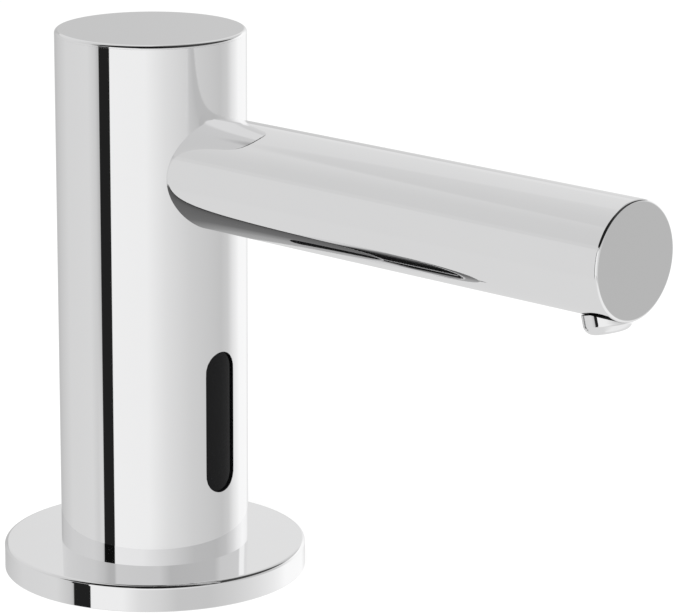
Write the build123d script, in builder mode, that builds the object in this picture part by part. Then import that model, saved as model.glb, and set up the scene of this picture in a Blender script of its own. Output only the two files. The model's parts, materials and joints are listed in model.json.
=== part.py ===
from build123d import *
import math
import os

os.makedirs("parts", exist_ok=True)

# Deck-mounted automatic soap dispenser, in millimetres.
# The origin is the middle of the flange's underside, on the deck. +Z is up and the spout points along -Y.

# Driving sizes of the visible body
column_d = 48.0
column_wall = 2.0
body_top = 140.0
flange_d = 77.0
flange_t = 6.7
spout_d = 28.0
spout_wall = 1.5
spout_reach = 153.0
spout_below_top = 33.5
edge_round = 0.7

# Clearances
slip_gap = 0.05
run_gap = 0.05
free_gap = 0.3
end_gap = 0.1
overrun = 5.0

# Sensor window, an upright slot in the front of the column
window_w = 9.6
window_h = 36.5
window_height_share = 0.4
window_recess = 1.2
lens_lip = 1.5
lens_depth = 3.5
lens_gasket_t = 0.5

# Nozzle, leaning away from the column
nozzle_d = 11.6
nozzle_lean = 15.0
nozzle_inset = 6.2
nozzle_drop = 3.5
nozzle_round = 2.5
nozzle_head_l = 5.0
nozzle_stem_d = 8.0
nozzle_stem_l = 6.0
nozzle_outlet_d = 4.4
nozzle_floor_t = 3.5

# Seals with a round section
o_ring_section = 1.6

# Cap on the column
cap_rim_t = 1.0
cap_spigot_l = 8.0
cap_spigot_wall = 4.0
cap_top_t = 2.5
cap_groove_mid = 3.5

# Base insert that joins the column, the flange and the shank
insert_h = 12.0
insert_spigot_d = 39.0
insert_lift = 1.5
insert_bore_d = 25.0
insert_groove_mid = 3.0
shank_stop_t = 6.7
deck_seal_d = 68.0
deck_seal_w = 5.0
deck_seal_t = 2.0

# Grub screws at the back of the column
grub_d = 4.0
grub_l = 6.0
grub_sink = 0.6
grub_z = 10.7
grub_angles = (60, 120)
grub_socket_af = 2.0
grub_socket_depth = 2.2

# Shank under the deck, with its clamp
shank_d = 28.0
shank_wall = 2.5
shank_below = 52.0
deck_t = 20.0
clamp_d = 54.0
clamp_hole_gap = 0.5
gasket_t = 3.0
washer_t = 2.0
nut_t = 9.0
nut_af = 40.0
nut_collar_t = 2.0
nut_collar_d = 44.0
nut_chamfer = 1.0

# Tail of the shank
plug_in = 8.0
plug_head_t = 3.0
inlet_x = 6.2
inlet_y = 0.0
inlet_spigot_d = 6.0
inlet_spigot_l = 12.0
connector_x = -5.5
connector_d = 8.0
connector_in = 9.0
connector_out = 9.0
connector_pin_d = 1.0
connector_pin_l = 3.0
connector_pin_pcd = 4.0
connector_pins_n = 3

# Spout joint with the column
stub_d = 16.0
stub_bore_d = 11.0
stub_out = 1.0
stub_hole_gap = 0.2
plug_gap = 2.0
plug_l = 8.0
saddle_w = 24.0
saddle_t = 5.0
spout_nut_af = 22.0
spout_nut_t = 4.5

# Outlet block in the end of the spout
block_l = 14.0
block_front_gap = 3.5
spout_end_t = 1.5
socket_depth = 4.0
nozzle_o_ring_section = 1.2

# Soap tube and its bore
tube_d = 5.0
tube_bore_d = 3.0

# Chassis in the column
chassis_ring_t = 2.5
chassis_gap = 0.5
chassis_plate_t = 3.0
chassis_plate_gap = 1.15
post_t = 2.2
post_w = 8.0
post_angles = (80, 205, 320)
chassis_screw_ring = 15.9
chassis_screws_n = 4
chassis_screw_angle = 45
chassis_screw_grip = 5.0
m3_d = 3.0
m3_head_d = 5.5
m3_head_t = 1.6
m2_d = 2.0
m2_head_d = 3.8
m2_head_t = 1.0

# Sensor behind the window
housing_w = 16.0
housing_depth = 9.0
housing_wall = 1.5
housing_foot_t = 2.8
pcb_t = 1.2
pcb_gap = 0.5
led_d = 5.0
led_body_l = 3.3
led_spacing = 18.0
led_rim_d = 5.8
led_rim_t = 1.0
sensor_screw_x = 4.5
sensor_screw_y = 14.5
sensor_screw_l = 4.7

# Gear pump
gear_teeth = 14
gear_module = 0.9
gear_pressure_angle = 20.0
gear_backlash = 0.16
addendum_share = 0.8
dedendum_share = 1.1
gear_t = 7.0
gear_row_y = 4.0
pump_edge_gap = 1.5
pump_floor_t = 5.0
pump_cover_t = 3.5
pump_screw_edge = 3.0
pump_screws_n = 4
pump_screw_in = 2.5
pump_seal_in = 1.0
pump_seal_w = 1.2
pump_seal_t = 1.2
port_d = 3.2
port_reach = 5.0
shaft_d = 3.0
shaft_seal_d = 8.0
shaft_seal_t = 2.5
idler_pin_in = 2.5
fitting_x = 13.0
fitting_stub_d = 6.0
fitting_stub_l = 2.0
fitting_body_d = 8.0
fitting_body_l = 6.0

# Motor
can_d = 24.4
can_l = 30.8
can_wall = 0.8
can_boss_d = 10.0
can_boss_t = 2.0
bush_d = 6.0
bell_t = 3.0
bell_bush_l = 3.5
shaft_tail = 0.7
armature_d = 16.8
armature_l = 16.0
armature_low = 8.3
armature_slots = 5
armature_slot_w = 1.6
armature_slot_depth = 5.0
commutator_d = 6.4
commutator_l = 3.0
commutator_low = 4.8
magnet_t = 2.4
magnet_over = 1.0
magnet_cut_w = 9.0
motor_screw_spread = 16.0
motor_screw_d = 2.5
motor_screw_head_d = 4.8
motor_screw_head_t = 1.3
motor_screw_out = 0.7

# Check valve over the pump's outlet
valve_d = 10.0
valve_stub_l = 2.0
valve_stub_d = 8.0
valve_seat_t = 0.5
chamber_d = 6.4
chamber_l = 5.5
valve_neck_l = 1.0
valve_socket_l = 3.5
poppet_d = 5.4
poppet_t = 1.2
poppet_stem_d = 1.6
poppet_stem_l = 2.0
poppet_nib_d = 2.0
poppet_nib_l = 1.4
spring_d = 4.6
spring_wire_d = 0.5
spring_turns = 4
tube_bend_r = 13.0

# Anti-drip valve in the nozzle
duckbill_flange_d = 6.2
duckbill_flange_t = 1.2
duckbill_d = 3.8
duckbill_l = 2.6
duckbill_tip_t = 1.2
duckbill_slit_t = 0.2
duckbill_wall = 0.6

# Leads
sensor_lead_d = 3.0
sensor_lead_x = -4.0
sensor_lead_z = 27.0
sensor_lead_turn_y = -2.0
sensor_lead_bend_r = 6.0
sensor_lead_y = -1.2
motor_lead_d = 2.0
motor_lead_out = 6.0
motor_lead_y = 2.0
motor_lead_drop = 8.7
motor_lead_bend_r = 8.0
lead_gather_z = 8.0
inlet_tube_turn_z = 38.0
inlet_tube_low_z = 18.0
inlet_tube_bend_r = 40.0

# Derived sizes
column_r = column_d / 2
bore_r = column_r - column_wall
spout_axis_z = body_top - spout_below_top
window_mid_z = spout_axis_z * window_height_share
lens_back = bore_r - lens_depth
housing_back = lens_back - housing_depth
fit_r = bore_r - slip_gap
flange_r = flange_d / 2
spout_r = spout_d / 2
spout_bore_r = spout_r - spout_wall
spout_fit_r = spout_bore_r - slip_gap
insert_top = flange_t + insert_h
insert_spigot_r = insert_spigot_d / 2
insert_bore_r = insert_bore_d / 2
shank_r = shank_d / 2
shank_bore_r = shank_r - shank_wall
shank_top = insert_top - shank_stop_t
shank_low = -shank_below
cap_low = body_top - cap_rim_t
tube_r = tube_d / 2
tube_bore_r = tube_bore_d / 2
socket_r = tube_r + slip_gap
o_ring_r = o_ring_section / 2

saddle_flat = bore_r - saddle_t
stub_in = saddle_flat - spout_nut_t - stub_out
plug_start = column_r + plug_gap
block_front = spout_reach - spout_end_t - block_front_gap
block_start = block_front - block_l
nozzle_tip_y = spout_reach - nozzle_inset
nozzle_tip_z = spout_axis_z - spout_r - nozzle_drop
nozzle_r = nozzle_d / 2
nozzle_stem_r = nozzle_stem_d / 2
nozzle_outlet_r = nozzle_outlet_d / 2
nozzle_o_ring_r = nozzle_o_ring_section / 2

chassis_ring_top = insert_top + chassis_ring_t
chassis_r = bore_r - chassis_gap
window_top = window_mid_z + window_h / 2
housing_top = window_top + lens_lip
chassis_plate_low = housing_top + chassis_plate_gap
pump_low = chassis_plate_low + chassis_plate_t
chamber_floor = pump_low + pump_floor_t
cover_low = chamber_floor + gear_t + 2 * end_gap
cover_top = cover_low + pump_cover_t
pump_r = bore_r - pump_edge_gap
pump_screw_ring = pump_r - pump_screw_edge

gear_pitch_r = gear_teeth * gear_module / 2
gear_tip_r = gear_pitch_r + addendum_share * gear_module
gear_root_r = gear_pitch_r - dedendum_share * gear_module
gear_base_r = gear_pitch_r * math.cos(math.radians(gear_pressure_angle))
gear_low = chamber_floor + end_gap
drive_x = -gear_pitch_r
idler_x = gear_pitch_r
shaft_r = shaft_d / 2
port_r = port_d / 2
inlet_port_y = gear_row_y - port_reach
outlet_port_y = gear_row_y + port_reach
drilling_z = pump_low + pump_floor_t / 2

can_r = can_d / 2
can_top = chassis_plate_low
can_low = can_top - can_l
can_bore_r = can_r - can_wall

valve_top = cover_top + valve_seat_t + chamber_l + valve_neck_l + valve_socket_l
chamber_low = cover_top + valve_seat_t
chamber_top = chamber_low + chamber_l
poppet_low = chamber_low + end_gap
poppet_top = poppet_low + poppet_t

gasket_low = -deck_t - gasket_t
washer_low = gasket_low - washer_t
nut_low = washer_low - nut_t
clamp_r = clamp_d / 2
clamp_hole_r = shank_r + clamp_hole_gap

# Planes of the parts that don't stand upright
front = Plane(origin=(0, 0, 0), x_dir=(1, 0, 0), z_dir=(0, -1, 0))
spout_plane = Plane(origin=(0, 0, spout_axis_z), x_dir=(1, 0, 0), z_dir=(0, -1, 0))
lean = math.radians(nozzle_lean)
nozzle_plane = Plane(
    origin=(0, -nozzle_tip_y, nozzle_tip_z),
    x_dir=(1, 0, 0),
    z_dir=(0, math.sin(lean), math.cos(lean)),
)
upright = (Align.CENTER, Align.CENTER, Align.MIN)


def disc(radius, low, high, x=0, y=0, mode=Mode.ADD):
    """Round solid along the block's own Z, from one level to another."""
    with Locations((x, y, low)):
        Cylinder(radius, high - low, align=upright, mode=mode)


def ring(outer, inner, low, high, x=0, y=0):
    """Round solid with a hole through it."""
    disc(outer, low, high, x, y)
    disc(inner, low - overrun, high + overrun, x, y, mode=Mode.SUBTRACT)


def block(width, depth, height, x, y, low, mode=Mode.ADD):
    """Box on its lower face, centred on x and y."""
    with Locations((x, y, low)):
        Box(width, depth, height, align=upright, mode=mode)


def sunk_screw(radius, head_radius, head_height, top, length, x=0, y=0):
    """Countersunk screw whose head is level with the top, pointing down."""
    disc(radius, top - length, top, x, y)
    with Locations((x, y, top - head_height)):
        Cone(radius, head_radius, head_height, align=upright)


def tube_along(points, radius, bore, bend):
    """Sweep a round section along straight runs joined by tangent arcs."""
    with BuildLine(mode=Mode.PRIVATE) as route:
        FilletPolyline(*points, radius=bend)
    path = route.wires()[0]
    start = Plane(origin=path @ 0, z_dir=path % 0)
    with BuildSketch(start, mode=Mode.PRIVATE) as section:
        Circle(radius)
        if bore > 0:
            Circle(bore, mode=Mode.SUBTRACT)
    return section.sketch, path


def report_tube(name, part, path, radius, bore):
    """Print a tube's volume beside its section times its length."""
    expected = math.pi * (radius**2 - bore**2) * path.length
    print(name, "length", round(path.length, 1), "volume", round(part.volume, 1), round(expected, 1))


def involute(angle):
    """Angle between the start of an involute and its point at a pressure angle."""
    return math.tan(angle) - angle


def gear_points(turn):
    """Outline of a spur gear: involute flanks, radial feet and straight tips and roots."""
    flank_shares = (0.0, 0.25, 0.5, 0.75, 1.0)
    half_at_pitch = math.pi / (2 * gear_teeth) - gear_backlash / (2 * gear_pitch_r)
    start = half_at_pitch + involute(math.radians(gear_pressure_angle))
    flank = [(gear_root_r, start)]
    for share in flank_shares:
        radius = gear_base_r + (gear_tip_r - gear_base_r) * share
        flank.append((radius, start - involute(math.acos(gear_base_r / radius))))
    outline = []
    for tooth in range(gear_teeth):
        middle = math.radians(turn) + 2 * math.pi * tooth / gear_teeth
        for radius, half in flank:
            outline.append((radius * math.cos(middle - half), radius * math.sin(middle - half)))
        for radius, half in reversed(flank):
            outline.append((radius * math.cos(middle + half), radius * math.sin(middle + half)))
    return outline


def finish(builder, name):
    """Label a finished piece and write it."""
    builder.part.label = name
    export_step(builder.part, "parts/" + name + ".step")


# Flange on the deck, with a recess for its seal
with BuildPart() as flange:
    ring(flange_r, insert_spigot_r + slip_gap, 0, flange_t)
    top_edge = flange.edges().filter_by(GeomType.CIRCLE).group_by(Axis.Z)[-1].sort_by(SortBy.RADIUS)[-1]
    fillet(top_edge, edge_round)
    with BuildSketch():
        Circle(deck_seal_d / 2)
        Circle(deck_seal_d / 2 - deck_seal_w, mode=Mode.SUBTRACT)
    extrude(amount=deck_seal_t, mode=Mode.SUBTRACT)
finish(flange, "flange")

with BuildPart() as deck_seal:
    ring(deck_seal_d / 2 - slip_gap, deck_seal_d / 2 - deck_seal_w + slip_gap, 0, deck_seal_t)
finish(deck_seal, "deck_seal")

# Base insert: spigot in the flange, body in the column, thread for the shank
insert_groove_low = insert_top - insert_groove_mid - o_ring_r
with BuildPart() as base_insert:
    disc(insert_spigot_r, insert_lift, flange_t)
    disc(fit_r, flange_t, insert_top)
    disc(shank_r, 0, shank_top, mode=Mode.SUBTRACT)
    disc(insert_bore_r, 0, insert_top + overrun, mode=Mode.SUBTRACT)
    with BuildSketch(Plane.XY.offset(insert_groove_low)):
        Circle(column_r)
        Circle(fit_r - o_ring_section, mode=Mode.SUBTRACT)
    extrude(amount=o_ring_section, mode=Mode.SUBTRACT)
    with PolarLocations(chassis_screw_ring, chassis_screws_n, start_angle=chassis_screw_angle):
        with Locations((0, 0, insert_top - chassis_screw_grip)):
            Cylinder(m3_d / 2, chassis_screw_grip, align=upright, mode=Mode.SUBTRACT)
    for angle in grub_angles:
        across = Vector(math.cos(math.radians(angle)), math.sin(math.radians(angle)), 0)
        tip = across * (column_r - grub_sink - grub_l) + Vector(0, 0, grub_z)
        with BuildSketch(Plane(origin=tip, z_dir=across)):
            Circle(grub_d / 2)
        extrude(amount=grub_l, mode=Mode.SUBTRACT)
finish(base_insert, "base_insert")

with BuildPart() as base_o_ring:
    with Locations((0, 0, insert_top - insert_groove_mid)):
        Torus(fit_r - o_ring_r, o_ring_r)
finish(base_o_ring, "base_o_ring")

with BuildPart() as grub_screws:
    for angle in grub_angles:
        across = Vector(math.cos(math.radians(angle)), math.sin(math.radians(angle)), 0)
        outside = across * (column_r - grub_sink) + Vector(0, 0, grub_z)
        tip = outside - across * grub_l
        with BuildSketch(Plane(origin=tip, z_dir=across)):
            Circle(grub_d / 2)
        extrude(amount=grub_l)
        with BuildSketch(Plane(origin=outside, z_dir=-across)):
            RegularPolygon(grub_socket_af / 2, 6, major_radius=False)
        extrude(amount=grub_socket_depth, mode=Mode.SUBTRACT)
finish(grub_screws, "grub_screws")

# Column tube: window slot and spout hole in front, screw holes behind
with BuildPart() as column_tube:
    ring(column_r, bore_r, flange_t, cap_low)
    with BuildSketch(front.offset(bore_r / 2)):
        with Locations((0, window_mid_z)):
            SlotOverall(window_h, window_w, rotation=90)
    extrude(amount=column_r, mode=Mode.SUBTRACT)
    with BuildSketch(front.offset(bore_r / 2)):
        with Locations((0, spout_axis_z)):
            Circle(stub_d / 2 + stub_hole_gap)
    extrude(amount=column_r, mode=Mode.SUBTRACT)
    for angle in grub_angles:
        across = Vector(math.cos(math.radians(angle)), math.sin(math.radians(angle)), 0)
        inside = across * (bore_r - overrun) + Vector(0, 0, grub_z)
        with BuildSketch(Plane(origin=inside, z_dir=across)):
            Circle(grub_d / 2 + slip_gap)
        extrude(amount=column_wall + 2 * overrun, mode=Mode.SUBTRACT)
finish(column_tube, "column_tube")

# Cap: thin rim on the tube, hollow spigot inside it
cap_groove_z = cap_low - cap_spigot_l + cap_groove_mid
with BuildPart() as top_cap:
    disc(column_r, cap_low, body_top)
    cap_edge = top_cap.edges().filter_by(GeomType.CIRCLE).group_by(Axis.Z)[-1]
    fillet(cap_edge, edge_round)
    disc(fit_r, cap_low - cap_spigot_l, cap_low)
    disc(fit_r - cap_spigot_wall, cap_low - cap_spigot_l, body_top - cap_top_t, mode=Mode.SUBTRACT)
    with BuildSketch(Plane.XY.offset(cap_groove_z - o_ring_r)):
        Circle(column_r)
        Circle(fit_r - o_ring_section, mode=Mode.SUBTRACT)
    extrude(amount=o_ring_section, mode=Mode.SUBTRACT)
finish(top_cap, "top_cap")

with BuildPart() as cap_o_ring:
    with Locations((0, 0, cap_groove_z)):
        Torus(fit_r - o_ring_r, o_ring_r)
finish(cap_o_ring, "cap_o_ring")

# Spout tube: closed end, saddle where it meets the column, hole for the nozzle
with BuildPart(spout_plane) as spout_tube:
    disc(spout_r, 0, spout_reach)
    end_edge = spout_tube.edges().filter_by(GeomType.CIRCLE).sort_by(Axis.Y)[0]
    fillet(end_edge, edge_round)
    disc(spout_bore_r, 0, spout_reach - spout_end_t, mode=Mode.SUBTRACT)
    Cylinder(column_r, body_top, rotation=(90, 0, 0), mode=Mode.SUBTRACT)
    with BuildSketch(nozzle_plane):
        Circle(nozzle_r + slip_gap)
    extrude(amount=spout_r / 2, mode=Mode.SUBTRACT)
finish(spout_tube, "spout_tube")

# Stub: plug in the spout, hollow thread through the column's wall
with BuildPart(spout_plane) as spout_stub:
    disc(stub_d / 2, stub_in, plug_start)
    disc(spout_fit_r, plug_start, plug_start + plug_l)
    disc(stub_bore_d / 2, 0, spout_reach, mode=Mode.SUBTRACT)
finish(spout_stub, "spout_stub")

with BuildPart(spout_plane) as saddle_washer:
    with Locations((0, 0, saddle_flat)):
        Box(saddle_w, saddle_w, column_r, align=upright)
    Cylinder(bore_r, body_top, rotation=(90, 0, 0), mode=Mode.INTERSECT)
    disc(stub_d / 2 + slip_gap, 0, column_r, mode=Mode.SUBTRACT)
finish(saddle_washer, "saddle_washer")

with BuildPart(spout_plane) as spout_nut:
    with BuildSketch(spout_plane.offset(saddle_flat - spout_nut_t)):
        RegularPolygon(spout_nut_af / 2, 6, major_radius=False, rotation=30)
        Circle(stub_d / 2, mode=Mode.SUBTRACT)
    extrude(amount=spout_nut_t)
finish(spout_nut, "spout_nut")

# Outlet block: tube socket behind, nozzle thread below
with BuildPart(spout_plane) as outlet_block:
    disc(spout_fit_r, block_start, block_front)
    disc(socket_r, 0, block_start + socket_depth, mode=Mode.SUBTRACT)
    nozzle_rise = spout_axis_z - nozzle_tip_z
    elbow_at = nozzle_tip_y - nozzle_rise * math.tan(lean)
    disc(tube_bore_r, block_start, elbow_at, mode=Mode.SUBTRACT)
    with BuildSketch(nozzle_plane):
        Circle(tube_bore_r)
    extrude(amount=nozzle_rise / math.cos(lean), mode=Mode.SUBTRACT)
    with BuildSketch(nozzle_plane):
        Circle(nozzle_stem_r)
    extrude(amount=nozzle_head_l + nozzle_stem_l, mode=Mode.SUBTRACT)
    with BuildSketch(nozzle_plane):
        Circle(nozzle_stem_r + nozzle_o_ring_section)
    extrude(amount=nozzle_head_l + nozzle_o_ring_section, mode=Mode.SUBTRACT)
    with BuildSketch(nozzle_plane):
        Circle(nozzle_r + slip_gap)
    extrude(amount=nozzle_head_l, mode=Mode.SUBTRACT)
finish(outlet_block, "outlet_block")

# Nozzle: rounded head below the spout, threaded stem in the block
with BuildPart(nozzle_plane) as nozzle:
    disc(nozzle_r, 0, nozzle_head_l)
    tip_edge = nozzle.edges().filter_by(GeomType.CIRCLE).sort_by(Axis.Z)[0]
    fillet(tip_edge, nozzle_round)
    disc(nozzle_stem_r, nozzle_head_l, nozzle_head_l + nozzle_stem_l)
    disc(nozzle_outlet_r, -overrun, nozzle_floor_t, mode=Mode.SUBTRACT)
    disc(
        duckbill_flange_d / 2 + slip_gap,
        nozzle_floor_t,
        nozzle_head_l + nozzle_stem_l + overrun,
        mode=Mode.SUBTRACT,
    )
finish(nozzle, "nozzle")

with BuildPart(nozzle_plane) as nozzle_o_ring:
    with Locations((0, 0, nozzle_head_l + nozzle_o_ring_r)):
        Torus(nozzle_stem_r + nozzle_o_ring_r, nozzle_o_ring_r)
finish(nozzle_o_ring, "nozzle_o_ring")

# Duckbill: flange on the nozzle's floor, lips that close to a slit
with BuildPart(nozzle_plane) as duckbill_valve:
    disc(duckbill_flange_d / 2, nozzle_floor_t, nozzle_floor_t + duckbill_flange_t)
    with BuildSketch(nozzle_plane.offset(nozzle_floor_t)):
        Circle(duckbill_d / 2)
    with BuildSketch(nozzle_plane.offset(nozzle_floor_t - duckbill_l)):
        RectangleRounded(duckbill_d - duckbill_tip_t / 2, duckbill_tip_t, duckbill_tip_t / 3)
    loft()
    disc(
        duckbill_d / 2 - duckbill_wall,
        nozzle_floor_t - duckbill_wall / 2,
        nozzle_floor_t + duckbill_flange_t,
        mode=Mode.SUBTRACT,
    )
    with Locations((0, 0, nozzle_floor_t - duckbill_l)):
        Box(
            duckbill_d - 2 * duckbill_wall,
            duckbill_slit_t,
            duckbill_l,
            align=upright,
            mode=Mode.SUBTRACT,
        )
finish(duckbill_valve, "duckbill_valve")

# Sensor window: curved face in the slot, wider lip behind the wall
with BuildPart() as lens_lip_part:
    with BuildSketch(front.offset(lens_back)):
        with Locations((0, window_mid_z)):
            SlotOverall(window_h + 2 * lens_lip, window_w + 2 * lens_lip, rotation=90)
    extrude(amount=column_r)
    disc(bore_r - lens_gasket_t, 0, body_top, mode=Mode.INTERSECT)

with BuildPart() as sensor_window:
    with BuildSketch(front.offset(lens_back)):
        with Locations((0, window_mid_z)):
            SlotOverall(window_h - 2 * slip_gap, window_w - 2 * slip_gap, rotation=90)
    extrude(amount=column_r)
    disc(column_r - window_recess, 0, body_top, mode=Mode.INTERSECT)
    add(lens_lip_part.part)
finish(sensor_window, "sensor_window")

with BuildPart() as window_gasket:
    with BuildSketch(front.offset(lens_back)):
        with Locations((0, window_mid_z)):
            SlotOverall(window_h + 2 * lens_lip, window_w + 2 * lens_lip, rotation=90)
            SlotOverall(window_h, window_w, rotation=90, mode=Mode.SUBTRACT)
    extrude(amount=column_r)
    disc(bore_r, 0, body_top, mode=Mode.INTERSECT)
    disc(bore_r - lens_gasket_t, 0, body_top, mode=Mode.SUBTRACT)
finish(window_gasket, "window_gasket")

# Sensor housing: open towards the window, with a wall between sender and receiver
housing_mid_y = -(lens_back + housing_back) / 2
housing_h = housing_top - chassis_ring_top
cavity_low = chassis_ring_top + housing_foot_t
cavity_h = housing_top - housing_wall - cavity_low
board_back = housing_back + housing_wall
board_front = board_back + pcb_t
with BuildPart() as sensor_housing:
    block(housing_w, housing_depth, housing_h, 0, housing_mid_y, chassis_ring_top)
    block(
        housing_w - 2 * housing_wall,
        housing_depth,
        cavity_h,
        0,
        housing_mid_y - housing_wall,
        cavity_low,
        mode=Mode.SUBTRACT,
    )
    block(
        housing_w - 2 * housing_wall,
        lens_back - board_front,
        housing_wall,
        0,
        -(lens_back + board_front) / 2,
        window_mid_z - housing_wall / 2,
    )
    for side in (-1, 1):
        disc(
            m2_d / 2,
            chassis_ring_top - overrun,
            chassis_ring_top + sensor_screw_l - chassis_ring_t,
            side * sensor_screw_x,
            -sensor_screw_y,
            mode=Mode.SUBTRACT,
        )
finish(sensor_housing, "sensor_housing")

with BuildPart() as sensor_board:
    block(
        housing_w - 2 * housing_wall - 2 * pcb_gap,
        pcb_t,
        cavity_h - 2 * pcb_gap,
        0,
        -(board_back + board_front) / 2,
        cavity_low + pcb_gap,
    )
finish(sensor_board, "sensor_board")

for name, height in (("ir_emitter", led_spacing / 2), ("ir_receiver", -led_spacing / 2)):
    led_plane = Plane(origin=(0, -board_front, window_mid_z + height), x_dir=(1, 0, 0), z_dir=(0, -1, 0))
    with BuildPart(led_plane) as led:
        disc(led_rim_d / 2, 0, led_rim_t)
        disc(led_d / 2, 0, led_body_l)
        with Locations((0, 0, led_body_l)):
            Sphere(led_d / 2, arc_size1=0)
    finish(led, name)

# Chassis: ring on the base insert, three posts and the plate that carries motor and pump
plate_top = pump_low
motor_screw_half = motor_screw_spread / 2
with BuildPart() as chassis:
    ring(chassis_r, insert_bore_r, insert_top, chassis_ring_top)
    with BuildSketch(Plane.XY.offset(chassis_ring_top)):
        for angle in post_angles:
            with PolarLocations(chassis_r - post_t / 2 - chassis_gap, 1, start_angle=angle):
                Rectangle(post_t, post_w)
    extrude(amount=chassis_plate_low - chassis_ring_top)
    disc(chassis_r, chassis_plate_low, plate_top)
    disc(
        can_boss_d / 2 + slip_gap,
        chassis_plate_low - overrun,
        plate_top + overrun,
        drive_x,
        gear_row_y,
        mode=Mode.SUBTRACT,
    )
    disc(
        fitting_stub_d / 2 + free_gap,
        chassis_plate_low - overrun,
        plate_top + overrun,
        fitting_x,
        inlet_port_y,
        mode=Mode.SUBTRACT,
    )
    with Locations((drive_x, gear_row_y, plate_top)):
        with GridLocations(motor_screw_spread, 0, 2, 1):
            CounterSinkHole(motor_screw_d / 2, motor_screw_head_d / 2, chassis_plate_t)
    with PolarLocations(pump_screw_ring, pump_screws_n):
        with Locations((0, 0, plate_top - pump_screw_in)):
            Cylinder(m3_d / 2, pump_screw_in, align=upright, mode=Mode.SUBTRACT)
    with PolarLocations(chassis_screw_ring, chassis_screws_n, start_angle=chassis_screw_angle):
        with Locations((0, 0, insert_top)):
            Cylinder(m3_d / 2, chassis_ring_t, align=upright, mode=Mode.SUBTRACT)
    for side in (-1, 1):
        with Locations((side * sensor_screw_x, -sensor_screw_y, insert_top)):
            Cylinder(m2_d / 2, chassis_ring_t, align=upright, mode=Mode.SUBTRACT)
            Cone(m2_head_d / 2, m2_d / 2, m2_head_t, align=upright, mode=Mode.SUBTRACT)
finish(chassis, "chassis")

with BuildPart() as chassis_screws:
    with PolarLocations(chassis_screw_ring, chassis_screws_n, start_angle=chassis_screw_angle):
        with Locations((0, 0, insert_top - chassis_screw_grip)):
            Cylinder(m3_d / 2, chassis_screw_grip + chassis_ring_t, align=upright)
        with Locations((0, 0, chassis_ring_top)):
            Cylinder(m3_head_d / 2, m3_head_t, align=upright)
        with Locations((0, 0, chassis_ring_top + m3_head_t / 2)):
            Cylinder(m3_d / 3, m3_head_t, align=upright, mode=Mode.SUBTRACT)
finish(chassis_screws, "chassis_screws")

with BuildPart() as sensor_screws:
    for side in (-1, 1):
        disc(m2_d / 2, insert_top, insert_top + sensor_screw_l, side * sensor_screw_x, -sensor_screw_y)
        with Locations((side * sensor_screw_x, -sensor_screw_y, insert_top)):
            Cone(m2_head_d / 2, m2_d / 2, m2_head_t, align=upright)
finish(sensor_screws, "sensor_screws")

# Motor: can hung under the plate, bell, bushes, magnets and rotor
with BuildPart() as motor_can:
    disc(can_r, can_low, can_top, drive_x, gear_row_y)
    disc(can_boss_d / 2, can_top, can_top + can_boss_t, drive_x, gear_row_y)
    disc(can_bore_r, can_low, can_top - can_wall, drive_x, gear_row_y, mode=Mode.SUBTRACT)
    disc(bush_d / 2, can_top - overrun, can_top + overrun, drive_x, gear_row_y, mode=Mode.SUBTRACT)
    with Locations((drive_x, gear_row_y, can_top - can_wall)):
        with GridLocations(motor_screw_spread, 0, 2, 1):
            Cylinder(motor_screw_d / 2, can_wall, align=upright, mode=Mode.SUBTRACT)
finish(motor_can, "motor_can")

with BuildPart() as motor_end_bell:
    ring(can_bore_r - slip_gap, bush_d / 2, can_low, can_low + bell_t, drive_x, gear_row_y)
finish(motor_end_bell, "motor_end_bell")

with BuildPart() as motor_bushes:
    disc(bush_d / 2, can_low, can_low + bell_bush_l, drive_x, gear_row_y)
    disc(bush_d / 2, can_top - can_wall, can_top + can_boss_t, drive_x, gear_row_y)
    disc(shaft_r + run_gap, can_low - overrun, can_top + overrun, drive_x, gear_row_y, mode=Mode.SUBTRACT)
finish(motor_bushes, "motor_bushes")

armature_z = can_low + armature_low
with BuildPart() as motor_magnets:
    ring(
        can_bore_r - slip_gap,
        can_bore_r - magnet_t,
        armature_z - magnet_over,
        armature_z + armature_l + magnet_over,
        drive_x,
        gear_row_y,
    )
    block(
        magnet_cut_w,
        can_d,
        armature_l + 2 * magnet_over,
        drive_x,
        gear_row_y,
        armature_z - magnet_over,
        mode=Mode.SUBTRACT,
    )
finish(motor_magnets, "motor_magnets")

with BuildPart() as motor_rotor:
    disc(armature_d / 2, armature_z, armature_z + armature_l, drive_x, gear_row_y)
    with Locations((drive_x, gear_row_y, armature_z)):
        with PolarLocations((armature_d - armature_slot_depth) / 2, armature_slots):
            Box(
                armature_slot_depth,
                armature_slot_w,
                armature_l,
                align=upright,
                mode=Mode.SUBTRACT,
            )
    disc(
        commutator_d / 2,
        can_low + commutator_low,
        can_low + commutator_low + commutator_l,
        drive_x,
        gear_row_y,
    )
    disc(shaft_r, can_low - shaft_tail, cover_low - end_gap, drive_x, gear_row_y)
finish(motor_rotor, "motor_rotor")

motor_screw_l = chassis_plate_t + can_wall + motor_screw_out
with BuildPart() as motor_screws:
    for side in (-1, 1):
        screw_x = drive_x + side * motor_screw_half
        sunk_screw(
            motor_screw_d / 2,
            motor_screw_head_d / 2,
            motor_screw_head_t - slip_gap,
            plate_top,
            motor_screw_l,
            screw_x,
            gear_row_y,
        )
finish(motor_screws, "motor_screws")

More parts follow.
